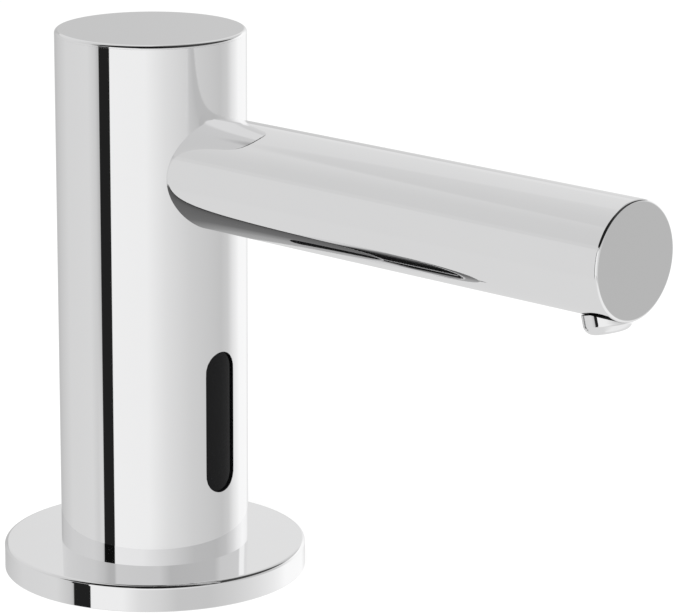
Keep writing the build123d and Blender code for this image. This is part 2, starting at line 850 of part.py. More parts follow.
# Gear pump: body with two round wells, cover, seal, gears, pin and shaft seal
well_r = gear_tip_r + free_gap
with BuildPart() as pump_body:
    disc(pump_r, pump_low, cover_low)
    disc(well_r, chamber_floor, cover_low, drive_x, gear_row_y, mode=Mode.SUBTRACT)
    disc(well_r, chamber_floor, cover_low, idler_x, gear_row_y, mode=Mode.SUBTRACT)
    disc(shaft_r + run_gap, pump_low, cover_low, drive_x, gear_row_y, mode=Mode.SUBTRACT)
    disc(shaft_seal_d / 2, pump_low, pump_low + shaft_seal_t, drive_x, gear_row_y, mode=Mode.SUBTRACT)
    disc(shaft_r, chamber_floor - idler_pin_in, cover_low, idler_x, gear_row_y, mode=Mode.SUBTRACT)
    disc(port_r, drilling_z, cover_low, 0, inlet_port_y, mode=Mode.SUBTRACT)
    disc(port_r, chamber_floor, cover_low, 0, outlet_port_y, mode=Mode.SUBTRACT)
    with BuildSketch(Plane.YZ):
        with Locations((inlet_port_y, drilling_z)):
            Circle(port_r)
    extrude(amount=fitting_x, mode=Mode.SUBTRACT)
    with Locations((fitting_x, inlet_port_y, pump_low)):
        Cylinder(fitting_stub_d / 2, fitting_stub_l, align=upright, mode=Mode.SUBTRACT)
    disc(port_r, pump_low, drilling_z, fitting_x, inlet_port_y, mode=Mode.SUBTRACT)
    with BuildSketch(Plane.XY.offset(cover_low - pump_seal_t)):
        with Locations((0, gear_row_y)):
            SlotCenterToCenter(2 * gear_pitch_r, 2 * (well_r + pump_seal_in + pump_seal_w))
            SlotCenterToCenter(2 * gear_pitch_r, 2 * (well_r + pump_seal_in), mode=Mode.SUBTRACT)
    extrude(amount=pump_seal_t, mode=Mode.SUBTRACT)
    with PolarLocations(pump_screw_ring, pump_screws_n):
        with Locations((0, 0, pump_low)):
            Cylinder(m3_d / 2, cover_low - pump_low, align=upright, mode=Mode.SUBTRACT)
finish(pump_body, "pump_body")

with BuildPart() as pump_seal:
    with BuildSketch(Plane.XY.offset(cover_low - pump_seal_t)):
        with Locations((0, gear_row_y)):
            SlotCenterToCenter(2 * gear_pitch_r, 2 * (well_r + pump_seal_in + pump_seal_w - slip_gap))
            SlotCenterToCenter(
                2 * gear_pitch_r,
                2 * (well_r + pump_seal_in + slip_gap),
                mode=Mode.SUBTRACT,
            )
    extrude(amount=pump_seal_t)
finish(pump_seal, "pump_seal")

with BuildPart() as pump_cover:
    disc(pump_r, cover_low, cover_top)
    disc(port_r, cover_low, cover_top, 0, outlet_port_y, mode=Mode.SUBTRACT)
    disc(valve_stub_d / 2, cover_top - valve_stub_l, cover_top, 0, outlet_port_y, mode=Mode.SUBTRACT)
    with PolarLocations(pump_screw_ring, pump_screws_n):
        with Locations((0, 0, cover_low)):
            Cylinder(m3_d / 2, pump_cover_t, align=upright, mode=Mode.SUBTRACT)
finish(pump_cover, "pump_cover")

pump_screw_l = cover_top - plate_top + pump_screw_in
with BuildPart() as pump_screws:
    with PolarLocations(pump_screw_ring, pump_screws_n):
        with Locations((0, 0, cover_top - pump_screw_l)):
            Cylinder(m3_d / 2, pump_screw_l, align=upright)
        with Locations((0, 0, cover_top)):
            Cylinder(m3_head_d / 2, m3_head_t, align=upright)
        with Locations((0, 0, cover_top + m3_head_t / 2)):
            Cylinder(m3_d / 3, m3_head_t, align=upright, mode=Mode.SUBTRACT)
finish(pump_screws, "pump_screws")

with BuildPart() as drive_gear:
    with BuildSketch(Plane.XY.offset(gear_low)):
        with Locations((drive_x, gear_row_y)):
            Polygon(*gear_points(0), align=None)
            Circle(shaft_r, mode=Mode.SUBTRACT)
    extrude(amount=gear_t)
finish(drive_gear, "drive_gear")

with BuildPart() as idler_gear:
    with BuildSketch(Plane.XY.offset(gear_low)):
        with Locations((idler_x, gear_row_y)):
            Polygon(*gear_points(180 / gear_teeth), align=None)
            Circle(shaft_r + run_gap, mode=Mode.SUBTRACT)
    extrude(amount=gear_t)
finish(idler_gear, "idler_gear")

with BuildPart() as idler_pin:
    disc(shaft_r, chamber_floor - idler_pin_in, cover_low, idler_x, gear_row_y)
finish(idler_pin, "idler_pin")

with BuildPart() as shaft_seal:
    ring(
        shaft_seal_d / 2 - slip_gap,
        shaft_r + run_gap,
        pump_low,
        pump_low + shaft_seal_t,
        drive_x,
        gear_row_y,
    )
finish(shaft_seal, "shaft_seal")

fitting_low = chassis_plate_low - fitting_body_l
with BuildPart() as inlet_fitting:
    disc(fitting_stub_d / 2, chassis_plate_low, pump_low + fitting_stub_l, fitting_x, inlet_port_y)
    disc(fitting_body_d / 2, fitting_low, chassis_plate_low, fitting_x, inlet_port_y)
    disc(tube_bore_r, fitting_low, pump_low + overrun, fitting_x, inlet_port_y, mode=Mode.SUBTRACT)
    disc(socket_r, fitting_low, fitting_low + socket_depth, fitting_x, inlet_port_y, mode=Mode.SUBTRACT)
finish(inlet_fitting, "inlet_fitting")

# Check valve: body with a chamber and a tube socket, poppet and spring
with BuildPart() as valve_body:
    disc(valve_stub_d / 2, cover_top - valve_stub_l, cover_top, 0, outlet_port_y)
    disc(valve_d / 2, cover_top, valve_top, 0, outlet_port_y)
    disc(port_r, cover_top - valve_stub_l, valve_top, 0, outlet_port_y, mode=Mode.SUBTRACT)
    disc(chamber_d / 2, chamber_low, chamber_top, 0, outlet_port_y, mode=Mode.SUBTRACT)
    disc(socket_r, valve_top - valve_socket_l, valve_top, 0, outlet_port_y, mode=Mode.SUBTRACT)
finish(valve_body, "valve_body")

with BuildPart() as valve_poppet:
    disc(poppet_d / 2, poppet_low, poppet_top, 0, outlet_port_y)
    disc(poppet_stem_d / 2, poppet_top, poppet_top + poppet_stem_l, 0, outlet_port_y)
    disc(poppet_nib_d / 2, poppet_low - poppet_nib_l, poppet_low, 0, outlet_port_y)
finish(valve_poppet, "valve_poppet")

# Spring: a helix of quarter turns, from the poppet to the roof of the chamber
spring_r = (spring_d - spring_wire_d) / 2
spring_low = poppet_top + spring_wire_d / 2
spring_high = chamber_top - spring_wire_d / 2
quarters = 4 * spring_turns
rise = (spring_high - spring_low) / quarters


def spring_point(quarter):
    """Point on the helix after a number of quarter turns."""
    angle = math.pi / 2 * quarter
    x = spring_r * math.cos(angle)
    y = outlet_port_y + spring_r * math.sin(angle)
    return Vector(x, y, spring_low + rise * quarter)


with BuildPart() as valve_spring:
    with BuildLine() as coil:
        for quarter in range(quarters):
            ThreePointArc(spring_point(quarter), spring_point(quarter + 0.5), spring_point(quarter + 1))
    with BuildSketch(Plane(origin=coil.line @ 0, z_dir=coil.line % 0)):
        Circle(spring_wire_d / 2)
    sweep()
finish(valve_spring, "valve_spring")
print("spring least gap", round(4 * rise - spring_wire_d, 3))

# Soap tubes
outlet_points = (
    (0, outlet_port_y, valve_top - valve_socket_l),
    (0, outlet_port_y, spout_axis_z),
    (0, -block_start - socket_depth, spout_axis_z),
)
with BuildPart() as outlet_tube:
    outlet_section, outlet_path = tube_along(outlet_points, tube_r, tube_bore_r, tube_bend_r)
    sweep(sections=outlet_section, path=outlet_path)
finish(outlet_tube, "outlet_tube")
report_tube("outlet_tube", outlet_tube.part, outlet_path, tube_r, tube_bore_r)

inlet_points = (
    (fitting_x, inlet_port_y, fitting_low + socket_depth),
    (fitting_x, inlet_port_y, inlet_tube_turn_z),
    (inlet_x, inlet_y, inlet_tube_low_z),
    (inlet_x, inlet_y, shank_low + plug_in - socket_depth),
)
with BuildPart() as inlet_tube:
    inlet_section, inlet_path = tube_along(inlet_points, tube_r, tube_bore_r, inlet_tube_bend_r)
    sweep(sections=inlet_section, path=inlet_path)
finish(inlet_tube, "inlet_tube")
report_tube("inlet_tube", inlet_tube.part, inlet_path, tube_r, tube_bore_r)

# Leads down to the connector
connector_top = shank_low + connector_in
sensor_lead_points = (
    (sensor_lead_x, -housing_back, sensor_lead_z),
    (sensor_lead_x, sensor_lead_turn_y, sensor_lead_z),
    (connector_x, sensor_lead_y, lead_gather_z),
    (connector_x, sensor_lead_y, connector_top),
)
with BuildPart() as sensor_lead:
    sensor_section, sensor_path = tube_along(sensor_lead_points, sensor_lead_d / 2, 0, sensor_lead_bend_r)
    sweep(sections=sensor_section, path=sensor_path)
finish(sensor_lead, "sensor_lead")
report_tube("sensor_lead", sensor_lead.part, sensor_path, sensor_lead_d / 2, 0)

motor_lead_points = (
    (drive_x, gear_row_y + motor_lead_out, can_low),
    (drive_x, gear_row_y + motor_lead_out, can_low - motor_lead_drop),
    (connector_x, motor_lead_y, lead_gather_z),
    (connector_x, motor_lead_y, connector_top),
)
with BuildPart() as motor_lead:
    motor_section, motor_path = tube_along(motor_lead_points, motor_lead_d / 2, 0, motor_lead_bend_r)
    sweep(sections=motor_section, path=motor_path)
finish(motor_lead, "motor_lead")
report_tube("motor_lead", motor_lead.part, motor_path, motor_lead_d / 2, 0)

# Shank, tail plug and connector
with BuildPart() as shank:
    ring(shank_r, shank_bore_r, shank_low, shank_top)
finish(shank, "shank")

spigot_low = shank_low - plug_head_t - inlet_spigot_l
with BuildPart() as shank_plug:
    disc(shank_bore_r - slip_gap, shank_low, shank_low + plug_in)
    disc(shank_r, shank_low - plug_head_t, shank_low)
    disc(inlet_spigot_d / 2, spigot_low, shank_low - plug_head_t, inlet_x, inlet_y)
    disc(tube_bore_r, spigot_low, shank_low + plug_in, inlet_x, inlet_y, mode=Mode.SUBTRACT)
    disc(
        socket_r,
        shank_low + plug_in - socket_depth,
        shank_low + plug_in,
        inlet_x,
        inlet_y,
        mode=Mode.SUBTRACT,
    )
    disc(
        connector_d / 2,
        shank_low - plug_head_t,
        shank_low + plug_in,
        connector_x,
        0,
        mode=Mode.SUBTRACT,
    )
finish(shank_plug, "shank_plug")

connector_low = shank_low - plug_head_t - connector_out
with BuildPart() as cable_connector:
    disc(connector_d / 2, connector_low, connector_top, connector_x, 0)
    with Locations((connector_x, 0, connector_low - connector_pin_l)):
        with PolarLocations(connector_pin_pcd / 2, connector_pins_n):
            Cylinder(connector_pin_d / 2, connector_pin_l, align=upright)
finish(cable_connector, "cable_connector")

# Clamp under the deck
with BuildPart() as deck_gasket:
    ring(clamp_r, clamp_hole_r, gasket_low, -deck_t)
finish(deck_gasket, "deck_gasket")

with BuildPart() as deck_washer:
    ring(clamp_r, clamp_hole_r, washer_low, gasket_low)
finish(deck_washer, "deck_washer")

with BuildPart() as lock_nut:
    with BuildSketch(Plane.XY.offset(nut_low)):
        RegularPolygon(nut_af / 2, 6, major_radius=False)
    extrude(amount=nut_t - nut_collar_t)
    chamfer(lock_nut.faces().sort_by(Axis.Z)[0].edges(), nut_chamfer)
    disc(nut_collar_d / 2, washer_low - nut_collar_t, washer_low)
    disc(shank_r + run_gap, nut_low - overrun, washer_low + overrun, mode=Mode.SUBTRACT)
finish(lock_nut, "lock_nut")
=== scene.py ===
import json
import math

import bpy
import numpy as np
from mathutils import Matrix, Vector


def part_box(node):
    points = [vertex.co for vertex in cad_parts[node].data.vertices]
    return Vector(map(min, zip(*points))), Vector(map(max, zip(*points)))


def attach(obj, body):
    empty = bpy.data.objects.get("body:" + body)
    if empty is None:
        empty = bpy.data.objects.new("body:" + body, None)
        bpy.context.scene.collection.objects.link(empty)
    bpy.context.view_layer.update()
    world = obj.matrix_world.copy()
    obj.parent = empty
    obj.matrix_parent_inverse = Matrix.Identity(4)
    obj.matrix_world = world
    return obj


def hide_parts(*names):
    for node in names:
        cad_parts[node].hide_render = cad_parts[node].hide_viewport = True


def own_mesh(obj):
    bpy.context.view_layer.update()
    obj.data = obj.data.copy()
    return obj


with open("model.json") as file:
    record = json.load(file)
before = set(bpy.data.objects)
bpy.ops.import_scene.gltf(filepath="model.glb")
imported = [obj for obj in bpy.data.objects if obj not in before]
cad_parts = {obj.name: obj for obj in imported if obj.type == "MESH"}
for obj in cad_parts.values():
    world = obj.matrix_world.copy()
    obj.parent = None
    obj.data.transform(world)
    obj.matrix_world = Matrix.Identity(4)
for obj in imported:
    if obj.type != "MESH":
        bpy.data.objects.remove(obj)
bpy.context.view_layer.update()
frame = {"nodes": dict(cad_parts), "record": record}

MM = 0.001

# Sizes taken from the frame, in metres
column_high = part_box("column_tube")[1]
cap_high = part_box("top_cap")[1]
flange_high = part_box("flange")[1]
spout_low, spout_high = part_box("spout_tube")
lens_low, lens_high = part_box("sensor_window")
shank_low, shank_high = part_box("shank")
coil_low, coil_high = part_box("valve_spring")
column_r = round(column_high.x, 4)
flange_seat_z = round(flange_high.z, 5)
body_top = round(cap_high.z, 4)
cap_seam = round(column_high.z, 4)
spout_r = round(spout_high.x, 4)
spout_axis_z = round((spout_low.z + spout_high.z) / 2, 5)
spout_reach = round(-spout_low.y, 4)
window_z = round((lens_low.z + lens_high.z) / 2, 5)
shank_r = round(shank_high.x, 4)

# Column and what opens into it
column_wall = 2.0 * MM
bore_r = column_r - column_wall
stub_hole_r = 8.2 * MM
grub_z = 10.7 * MM
grub_hole_r = 2.05 * MM
grub_angles = (60.0, 120.0)
fit_gap = 0.05 * MM
insert_r = 19.5 * MM

# Cap
seam_round = 0.03 * MM
cap_edge_round = 0.96 * MM
cap_spigot_l = 8.0 * MM
cap_spigot_wall = 4.0 * MM
cap_spigot_round = 0.3 * MM
cap_top_t = 2.5 * MM

# Flange, a little larger and higher than its solid, and rising towards the column
flange_swell = 0.15 * MM
flange_lift = 0.14 * MM
flange_rise = 0.3 * MM
flange_edge_round = 1.0 * MM
flange_foot_round = 0.15 * MM
flange_start_z = 0.2 * MM
flange_r = flange_high.x + flange_swell
flange_top = flange_seat_z + flange_lift
seal_out_r = 34.0 * MM
seal_in_r = 29.0 * MM
seal_t = 2.0 * MM

# Spout, whose outer face is a little larger and higher than its solid's
spout_wall = 1.5 * MM
spout_swell = 0.1 * MM
spout_lift = 0.15 * MM
spout_out_r = spout_r + spout_swell
saddle_l = 6.0 * MM
end_edge_round = 0.7 * MM
end_longer = 0.6 * MM
end_disc_depth = 0.02 * MM

# Nozzle
nozzle_r = 5.8 * MM
nozzle_lean = math.radians(15.0)
nozzle_inset = 6.2 * MM
nozzle_drop = 3.5 * MM
nozzle_round = 2.5 * MM
nozzle_head_l = 5.0 * MM
nozzle_neck_round = 0.1 * MM
nozzle_stem_r = 4.0 * MM
nozzle_stem_l = 6.0 * MM
nozzle_stem_round = 0.2 * MM
nozzle_outlet_r = 2.2 * MM
nozzle_floor_t = 3.5 * MM
nozzle_bore_r = 3.15 * MM
nozzle_lip_round = 0.3 * MM
nozzle_hole_at = spout_reach - nozzle_inset - nozzle_drop * math.tan(nozzle_lean)
nozzle_tip = np.array((0, -(spout_reach - nozzle_inset), spout_axis_z - spout_r - nozzle_drop))
nozzle_axis = np.array((0, math.sin(nozzle_lean), math.cos(nozzle_lean)))

# Sensor window
window_w = 9.75 * MM
window_h = 36.65 * MM
window_recess = 0.55 * MM
lens_lip = 1.5 * MM
lens_lip_gap = 0.5 * MM
lens_rim_t = 0.12 * MM
lens_rim_below = 0.04 * MM
lens_back = 18.5 * MM

# Shank and its thread: the ridge's height is clipped from a wave that is stretched and lowered
shank_wall = 2.5 * MM
thread_pitch = 2.0 * MM
thread_depth = 1.1 * MM
thread_run_out = 1.5 * MM
thread_end_drop = 0.5 * MM
ridge_stretch = 1.35
ridge_lowering = 0.15

# Valve spring
coil_wire_r = 0.25 * MM
coil_turns = 4

# Grids of the surfaces
column_turn_step = math.radians(1.8)
column_rise_step = 2.4 * MM
spout_turn_step = math.radians(2.25)
spout_length_step = 3.0 * MM
hole_margin = 1.6 * MM
band_shares = np.linspace(0, 1, 6)[:, None, None]
saddle_shares = np.linspace(0, 1, 8)[:, None]
closing_shares = np.linspace(0, 1, 9)
closest_share = 0.35
circle_points = 97
wire_points = 13
thread_rows = 10
coil_steps = 24
same_place = 1e-9
weld_grid = 1e-6
weld_shift = 0.27e-6

up = np.array((0, 0, 1.0))


# Surfaces
def quarter_right(direction):
    """Direction of a profile turned a quarter to the right, which is its outward side."""
    return np.array((direction[1], -direction[0]))


def profile_runs(corners, radii, steps=6):
    """Runs of a profile through its corners: straight lines, and at each corner an arc of its radius.

    An arc's points are its centre plus the radius times a normal that turns evenly from the one side's
    normal to the other's. Each run is (points, normals), both one row for each point.
    """
    corners = [np.array(corner, float) for corner in corners]
    runs = []
    start = corners[0]
    for here, after, radius in zip(corners[1:-1], corners[2:], radii[1:-1]):
        arriving = (here - start) / np.linalg.norm(here - start)
        leaving = (after - here) / np.linalg.norm(after - here)
        turn = math.atan2(arriving[0] * leaving[1] - arriving[1] * leaving[0], float(arriving @ leaving))
        first = quarter_right(arriving)
        tangent = radius * math.tan(abs(turn) / 2)
        touch = here - arriving * tangent
        runs.append((np.array((start, touch)), np.array((first, first))))
        start = here + leaving * tangent
        if radius:
            angles = math.atan2(first[1], first[0]) + turn * np.linspace(0, 1, steps + 1)
            normals = np.stack((np.cos(angles), np.sin(angles)), axis=1)
            side = math.copysign(radius, turn)
            runs.append((touch - side * first + side * normals, normals))
    last = (corners[-1] - start) / np.linalg.norm(corners[-1] - start)
    runs.append((np.array((start, corners[-1])), np.array((quarter_right(last),) * 2)))
    return runs


def turned_patch(points, normals, around, axis, origin=np.zeros(3)):
    """Patch of a turned run: origin + radius * around + height * axis, and its normals the same way."""
    place = points[:, 0, None, None] * around + points[:, 1, None, None] * axis
    facing = normals[:, 0, None, None] * around + normals[:, 1, None, None] * axis
    return place + origin, facing, None


def turned(runs, origin=np.zeros(3), axis=up, steps=160):
    """Patches of runs that turn once round an axis: around is (cos a, sin a) across it."""
    side = np.array((1.0, 0, 0))
    other = np.cross(axis, side)
    turn = np.linspace(0, 2 * np.pi, steps + 1)
    around = np.cos(turn)[:, None] * side + np.sin(turn)[:, None] * other
    return [turned_patch(points, normals, around, axis, origin) for points, normals in runs]


def piece_from(name, patches):
    """One closed mesh from patches of (points, normals, kept faces), each a grid of rows and columns.

    Points that fall together become one vertex, faces that lose a side become triangles, a patch that
    faces against its normals is turned round, and the normals of the formula go to the corners.
    """
    corners, corner_normals, points, count = [], [], [], 0
    for place, facing, kept in patches:
        rows, columns = place.shape[:2]
        index = count + np.arange(rows * columns).reshape(rows, columns)
        quads = np.stack((index[:-1, :-1], index[:-1, 1:], index[1:, 1:], index[1:, :-1]), axis=-1)
        flat, flat_facing = place.reshape(-1, 3), facing.reshape(-1, 3)
        quads = (quads if kept is None else quads[kept]).reshape(-1, 4)
        across = flat[quads[:, 2] - count] - flat[quads[:, 0] - count]
        along = flat[quads[:, 3] - count] - flat[quads[:, 1] - count]
        if np.sum(np.cross(across, along) * flat_facing[quads[:, 0] - count]) < 0:
            quads = quads[:, ::-1]
        corners.append(quads)
        corner_normals.append(flat_facing[quads - count])
        points.append(flat)
        count += rows * columns
    points = np.concatenate(points)
    keys = np.round((points + weld_shift) / weld_grid).astype(np.int64)
    first, back = np.unique(keys, axis=0, return_index=True, return_inverse=True)[1:]
    corners = back.reshape(-1)[np.concatenate(corners)]
    corner_normals = np.concatenate(corner_normals)
    apart = corners != np.roll(corners, -1, axis=1)
    sides = apart.sum(axis=1)
    whole, cut = sides == 4, sides == 3
    quads = corners[whole]
    triangles = corners[cut][apart[cut]].reshape(-1, 3)
    loops = np.concatenate((corner_normals[whole].reshape(-1, 3), corner_normals[cut][apart[cut]]))
    loops /= np.linalg.norm(loops, axis=1, keepdims=True)
    mesh = bpy.data.meshes.new(name)
    mesh.from_pydata(points[first].tolist(), [], quads.tolist() + triangles.tolist())
    mesh.polygons.foreach_set("use_smooth", np.ones(len(mesh.polygons), bool))
    mesh.normals_split_custom_set(loops.tolist())
    piece = bpy.data.objects.new(name, mesh)
    bpy.context.scene.collection.objects.link(piece)
    return piece


def formula_normals(points):
    """Normals of a grid from the cross product of its two slopes."""
    normals = np.cross(np.gradient(points, axis=0), np.gradient(points, axis=1))
    return normals / np.linalg.norm(normals, axis=2, keepdims=True)


def level_circle(angle):
    """Unit circle in plan: (cos a, sin a, 0)."""
    return np.stack((np.cos(angle), np.sin(angle), np.zeros(np.shape(angle))), axis=-1)


def lines(low, high, step, *more):
    """Grid lines from low to high, about a step apart, with more lines put in and near ones dropped."""
    more = np.array(sorted(set((low, high) + more)))
    even = np.linspace(low, high, int(round((high - low) / step)) + 1)
    clear = np.abs(even[:, None] - more).min(axis=1) > closest_share * step
    return np.sort(np.concatenate((even[clear], more)))


def block_rim(across, along, box):
    """Grid points round a box of the grid, once round, and the faces outside that box."""
    low_a, high_a, low_b, high_b = box
    columns = np.flatnonzero((across > low_a - same_place) & (across < high_a + same_place))
    rows = np.flatnonzero((along > low_b - same_place) & (along < high_b + same_place))
    a, b = across[columns], along[rows]
    rim = np.concatenate((
        np.stack((a, np.full(len(a), b[0])), axis=1),
        np.stack((np.full(len(b), a[-1]), b), axis=1)[1:],
        np.stack((a[::-1], np.full(len(a), b[-1])), axis=1)[1:],
        np.stack((np.full(len(b), a[0]), b[::-1]), axis=1)[1:],
    ))
    kept = np.ones((len(along) - 1, len(across) - 1), bool)
    kept[rows[0]:rows[-1], columns[0]:columns[-1]] = False
    return rim, kept


def slot_edge(offset, half_length, radius):
    """Nearest point of an upright slot's edge to each offset from its middle, and the way outwards."""
    spine = np.stack((np.zeros(len(offset)), np.clip(offset[:, 1], -half_length, half_length)), axis=1)
    out = offset - spine
    out /= np.linalg.norm(out, axis=1, keepdims=True)
    return spine + radius * out, out


def upright_cylinder(radius, angle, height):
    """Point and normal of an upright cylinder at an angle and a height."""
    normal = level_circle(angle)
    point = radius * normal
    point[..., 2] = height
    return point, normal


# Column, cap and flange
def column_shell():
    """Upright tube: r (cos a, sin a), z on a grid of angles and heights, with holes in both its walls.

    Round each hole a band of the grid is stretched from the hole's edge to a box of grid lines. The
    hole's wall joins its outer edge to its inner edge, straight through.
    """
    front = -math.pi / 2
    holes = [
        (front, window_z, window_w / 2, (window_h - window_w) / 2),
        (front, spout_axis_z, stub_hole_r, 0.0),
    ] + [(math.radians(angle), grub_z, grub_hole_r, 0.0) for angle in grub_angles]
    boxes = []
    for middle, height, radius, half_length in holes:
        half_turn = math.asin(radius / bore_r) + hole_margin / column_r
        half_height = half_length + radius + hole_margin
        boxes.append((middle - half_turn, middle + half_turn, height - half_height, height + half_height))
    wall_top = cap_seam - seam_round
    turn_edges = [edge for box in boxes for edge in box[:2]]
    height_edges = [edge for box in boxes for edge in box[2:]]
    turns = lines(-math.pi, math.pi, column_turn_step, *turn_edges)
    heights = lines(flange_seat_z, wall_top, column_rise_step, *height_edges)
    angle, height = np.meshgrid(turns, heights)
    rims, outside = zip(*[block_rim(turns, heights, box) for box in boxes])
    kept = np.logical_and.reduce(outside)
    patches = []
    for radius, sign in ((column_r, 1), (bore_r, -1)):
        place, facing = upright_cylinder(radius, angle, height)
        patches.append((place, sign * facing, kept))
    for (middle, level, hole_r, half_length), rim in zip(holes, rims):
        edges = []
        for radius, sign in ((column_r, 1), (bore_r, -1)):
            offset = np.stack((radius * np.sin(rim[:, 0] - middle), rim[:, 1] - level), axis=1)
            edge, out = slot_edge(offset, half_length, hole_r)
            edge = np.stack((middle + np.arcsin(edge[:, 0] / radius), level + edge[:, 1]), axis=1)
            band = edge + (rim - edge) * band_shares
            place, facing = upright_cylinder(radius, band[..., 0], band[..., 1])
            patches.append((place, sign * facing, None))
            edges.append(place[0])
        sideways = np.array((-math.sin(middle), math.cos(middle), 0))
        inward = -(out[:, :1] * sideways + out[:, 1:] * up)
        patches.append((np.stack(edges), np.stack((inward, inward)), None))
    rim_corners = [(column_r, wall_top), (column_r, cap_seam), (bore_r, cap_seam), (bore_r, wall_top)]
    rim_runs = profile_runs(rim_corners, [0, seam_round, 0, 0], steps=3)
    rim_runs = [run for run in rim_runs if np.linalg.norm(run[0][-1] - run[0][0]) > same_place]
    foot_runs = profile_runs([(bore_r, flange_seat_z), (column_r, flange_seat_z)], [0, 0])
    around = level_circle(turns)
    patches += [turned_patch(points, normals, around, up) for points, normals in rim_runs + foot_runs]
    return piece_from("column_shell", patches)


def cap_shell():
    """Turned cap: rim on the tube, rounded top edge, flat top and a hollow spigot inside the tube."""
    spigot_r = bore_r - fit_gap
    hollow_r = spigot_r - cap_spigot_wall
    low = cap_seam - cap_spigot_l
    corners = [
        (0, body_top - cap_top_t),
        (hollow_r, body_top - cap_top_t),
        (hollow_r, low),
        (spigot_r, low),
        (spigot_r, cap_seam),
        (column_r, cap_seam),
        (column_r, body_top),
        (0, body_top),
    ]
    radii = [0, 0, 0, cap_spigot_round, 0, seam_round, cap_edge_round, 0]
    return piece_from("cap_shell", turned(profile_runs(corners, radii, steps=10), steps=200))


def flange_shell():
    """Turned flange: flat underside with the seal's groove, rounded top edge, bore for the base insert."""
    inner = insert_r + fit_gap
    corners = [
        (inner, flange_start_z),
        (inner, 0),
        (seal_in_r, 0),
        (seal_in_r, seal_t),
        (seal_out_r, seal_t),
        (seal_out_r, 0),
        (flange_r, 0),
        (flange_r, flange_top),
        (bore_r, flange_top + flange_rise),
        (bore_r, flange_seat_z),
        (inner, flange_seat_z),
        (inner, flange_start_z),
    ]
    radii = [0, 0, 0, 0, 0, 0, flange_foot_round, flange_edge_round, 0, 0, 0, 0]
    return piece_from("flange_shell", turned(profile_runs(corners, radii, steps=10), steps=240))


# Spout and nozzle
def spout_middle(radius):
    """Height of a spout cylinder's axis: the outer one lies a little above the bore."""
    return spout_axis_z + (spout_lift if radius > spout_r else 0)


def spout_cylinder(radius, angle, length):
    """Point and normal of the level spout, at an angle about its axis and a length from the column's axis.

    The angle starts at the spout's top: the point is r (sin a, cos a) across, and -length along y.
    """
    normal = np.stack((np.sin(angle), np.zeros(np.shape(angle)), np.cos(angle)), axis=-1)
    point = radius * normal
    point[..., 1] = -length
    point[..., 2] += spout_middle(radius)
    return point, normal


def nozzle_hole_edge(radius, rim):
    """Edge of the leaning nozzle hole in a spout wall, as angles and lengths, and the hole's inward side.

    Each rim point has an edge point of its own, at the turn about the nozzle that faces it.
    """
    turn = np.arctan2(rim[:, 1] - nozzle_hole_at, radius * np.sin(rim[:, 0]))
    turn_cos, turn_sin = np.cos(turn), np.sin(turn)
    hole_r = nozzle_r + fit_gap
    across, forward = hole_r * turn_cos, hole_r * turn_sin
    low = spout_middle(radius) - np.sqrt(radius**2 - across**2)
    rise = (low - nozzle_tip[2] - forward * math.sin(nozzle_lean)) / math.cos(nozzle_lean)
    length = -nozzle_tip[1] + forward * math.cos(nozzle_lean) - rise * math.sin(nozzle_lean)
    angle = math.pi - np.arcsin(across / radius)
    inward = (-turn_cos, turn_sin * math.cos(nozzle_lean), -turn_sin * math.sin(nozzle_lean))
    return np.stack((angle, length), axis=1), np.stack(inward, axis=1)


def spout_shell():
    """Level tube with a saddle that fits the column, a closed rounded end and the nozzle's hole below.

    The saddle's length at an angle a is sqrt(R^2 - (r sin a)^2), with R of the column and r of the tube.
    """
    inner_r = spout_r - spout_wall
    reach = spout_reach + end_longer
    straight = reach - end_edge_round
    half = hole_margin + nozzle_r
    box = (math.pi - half / inner_r, math.pi + half / inner_r, nozzle_hole_at - half, straight)
    turns = lines(0.0, 2 * math.pi, spout_turn_step, *box[:2])
    start = column_r + saddle_l
    lengths = lines(start, straight, spout_length_step, box[2])
    angle, length = np.meshgrid(turns, lengths)
    rim, kept = block_rim(turns, lengths, box)
    patches, edges, saddles = [], [], []
    for radius, sign in ((spout_out_r, 1), (inner_r, -1)):
        place, facing = spout_cylinder(radius, angle, length)
        patches.append((place, sign * facing, kept))
        saddle = np.sqrt(column_r**2 - (radius * np.sin(turns)) ** 2)
        near = saddle + (start - saddle) * saddle_shares
        place, facing = spout_cylinder(radius, np.broadcast_to(turns, near.shape), near)
        patches.append((place, sign * facing, None))
        saddles.append(place[0])
        edge, inward = nozzle_hole_edge(radius, rim)
        band = edge + (rim - edge) * band_shares
        place, facing = spout_cylinder(radius, band[..., 0], band[..., 1])
        patches.append((place, sign * facing, None))
        edges.append(place[0])
    patches.append((np.stack(edges), np.stack((inward, inward)), None))
    seat = -np.stack(saddles) * np.array((1, 1, 0))
    patches.append((np.stack(saddles), seat / np.linalg.norm(seat, axis=2, keepdims=True), None))
    around = np.stack((np.sin(turns), np.zeros(len(turns)), np.cos(turns)), axis=1)
    forward = np.array((0, -1.0, 0))
    end_profile = [(spout_out_r, start), (spout_out_r, reach), (0, reach)]
    outer_end = profile_runs(end_profile, [0, end_edge_round, 0], steps=10)[1:]
    inner_end = profile_runs([(inner_r, straight), (0, straight)], [0, 0])
    for runs, radius, sign in ((outer_end, spout_out_r, 1), (inner_end, inner_r, -1)):
        middle = spout_middle(radius) * up
        for points, normals in runs:
            patches.append(turned_patch(points, sign * normals, around, forward, middle))
    return piece_from("spout_shell", patches)


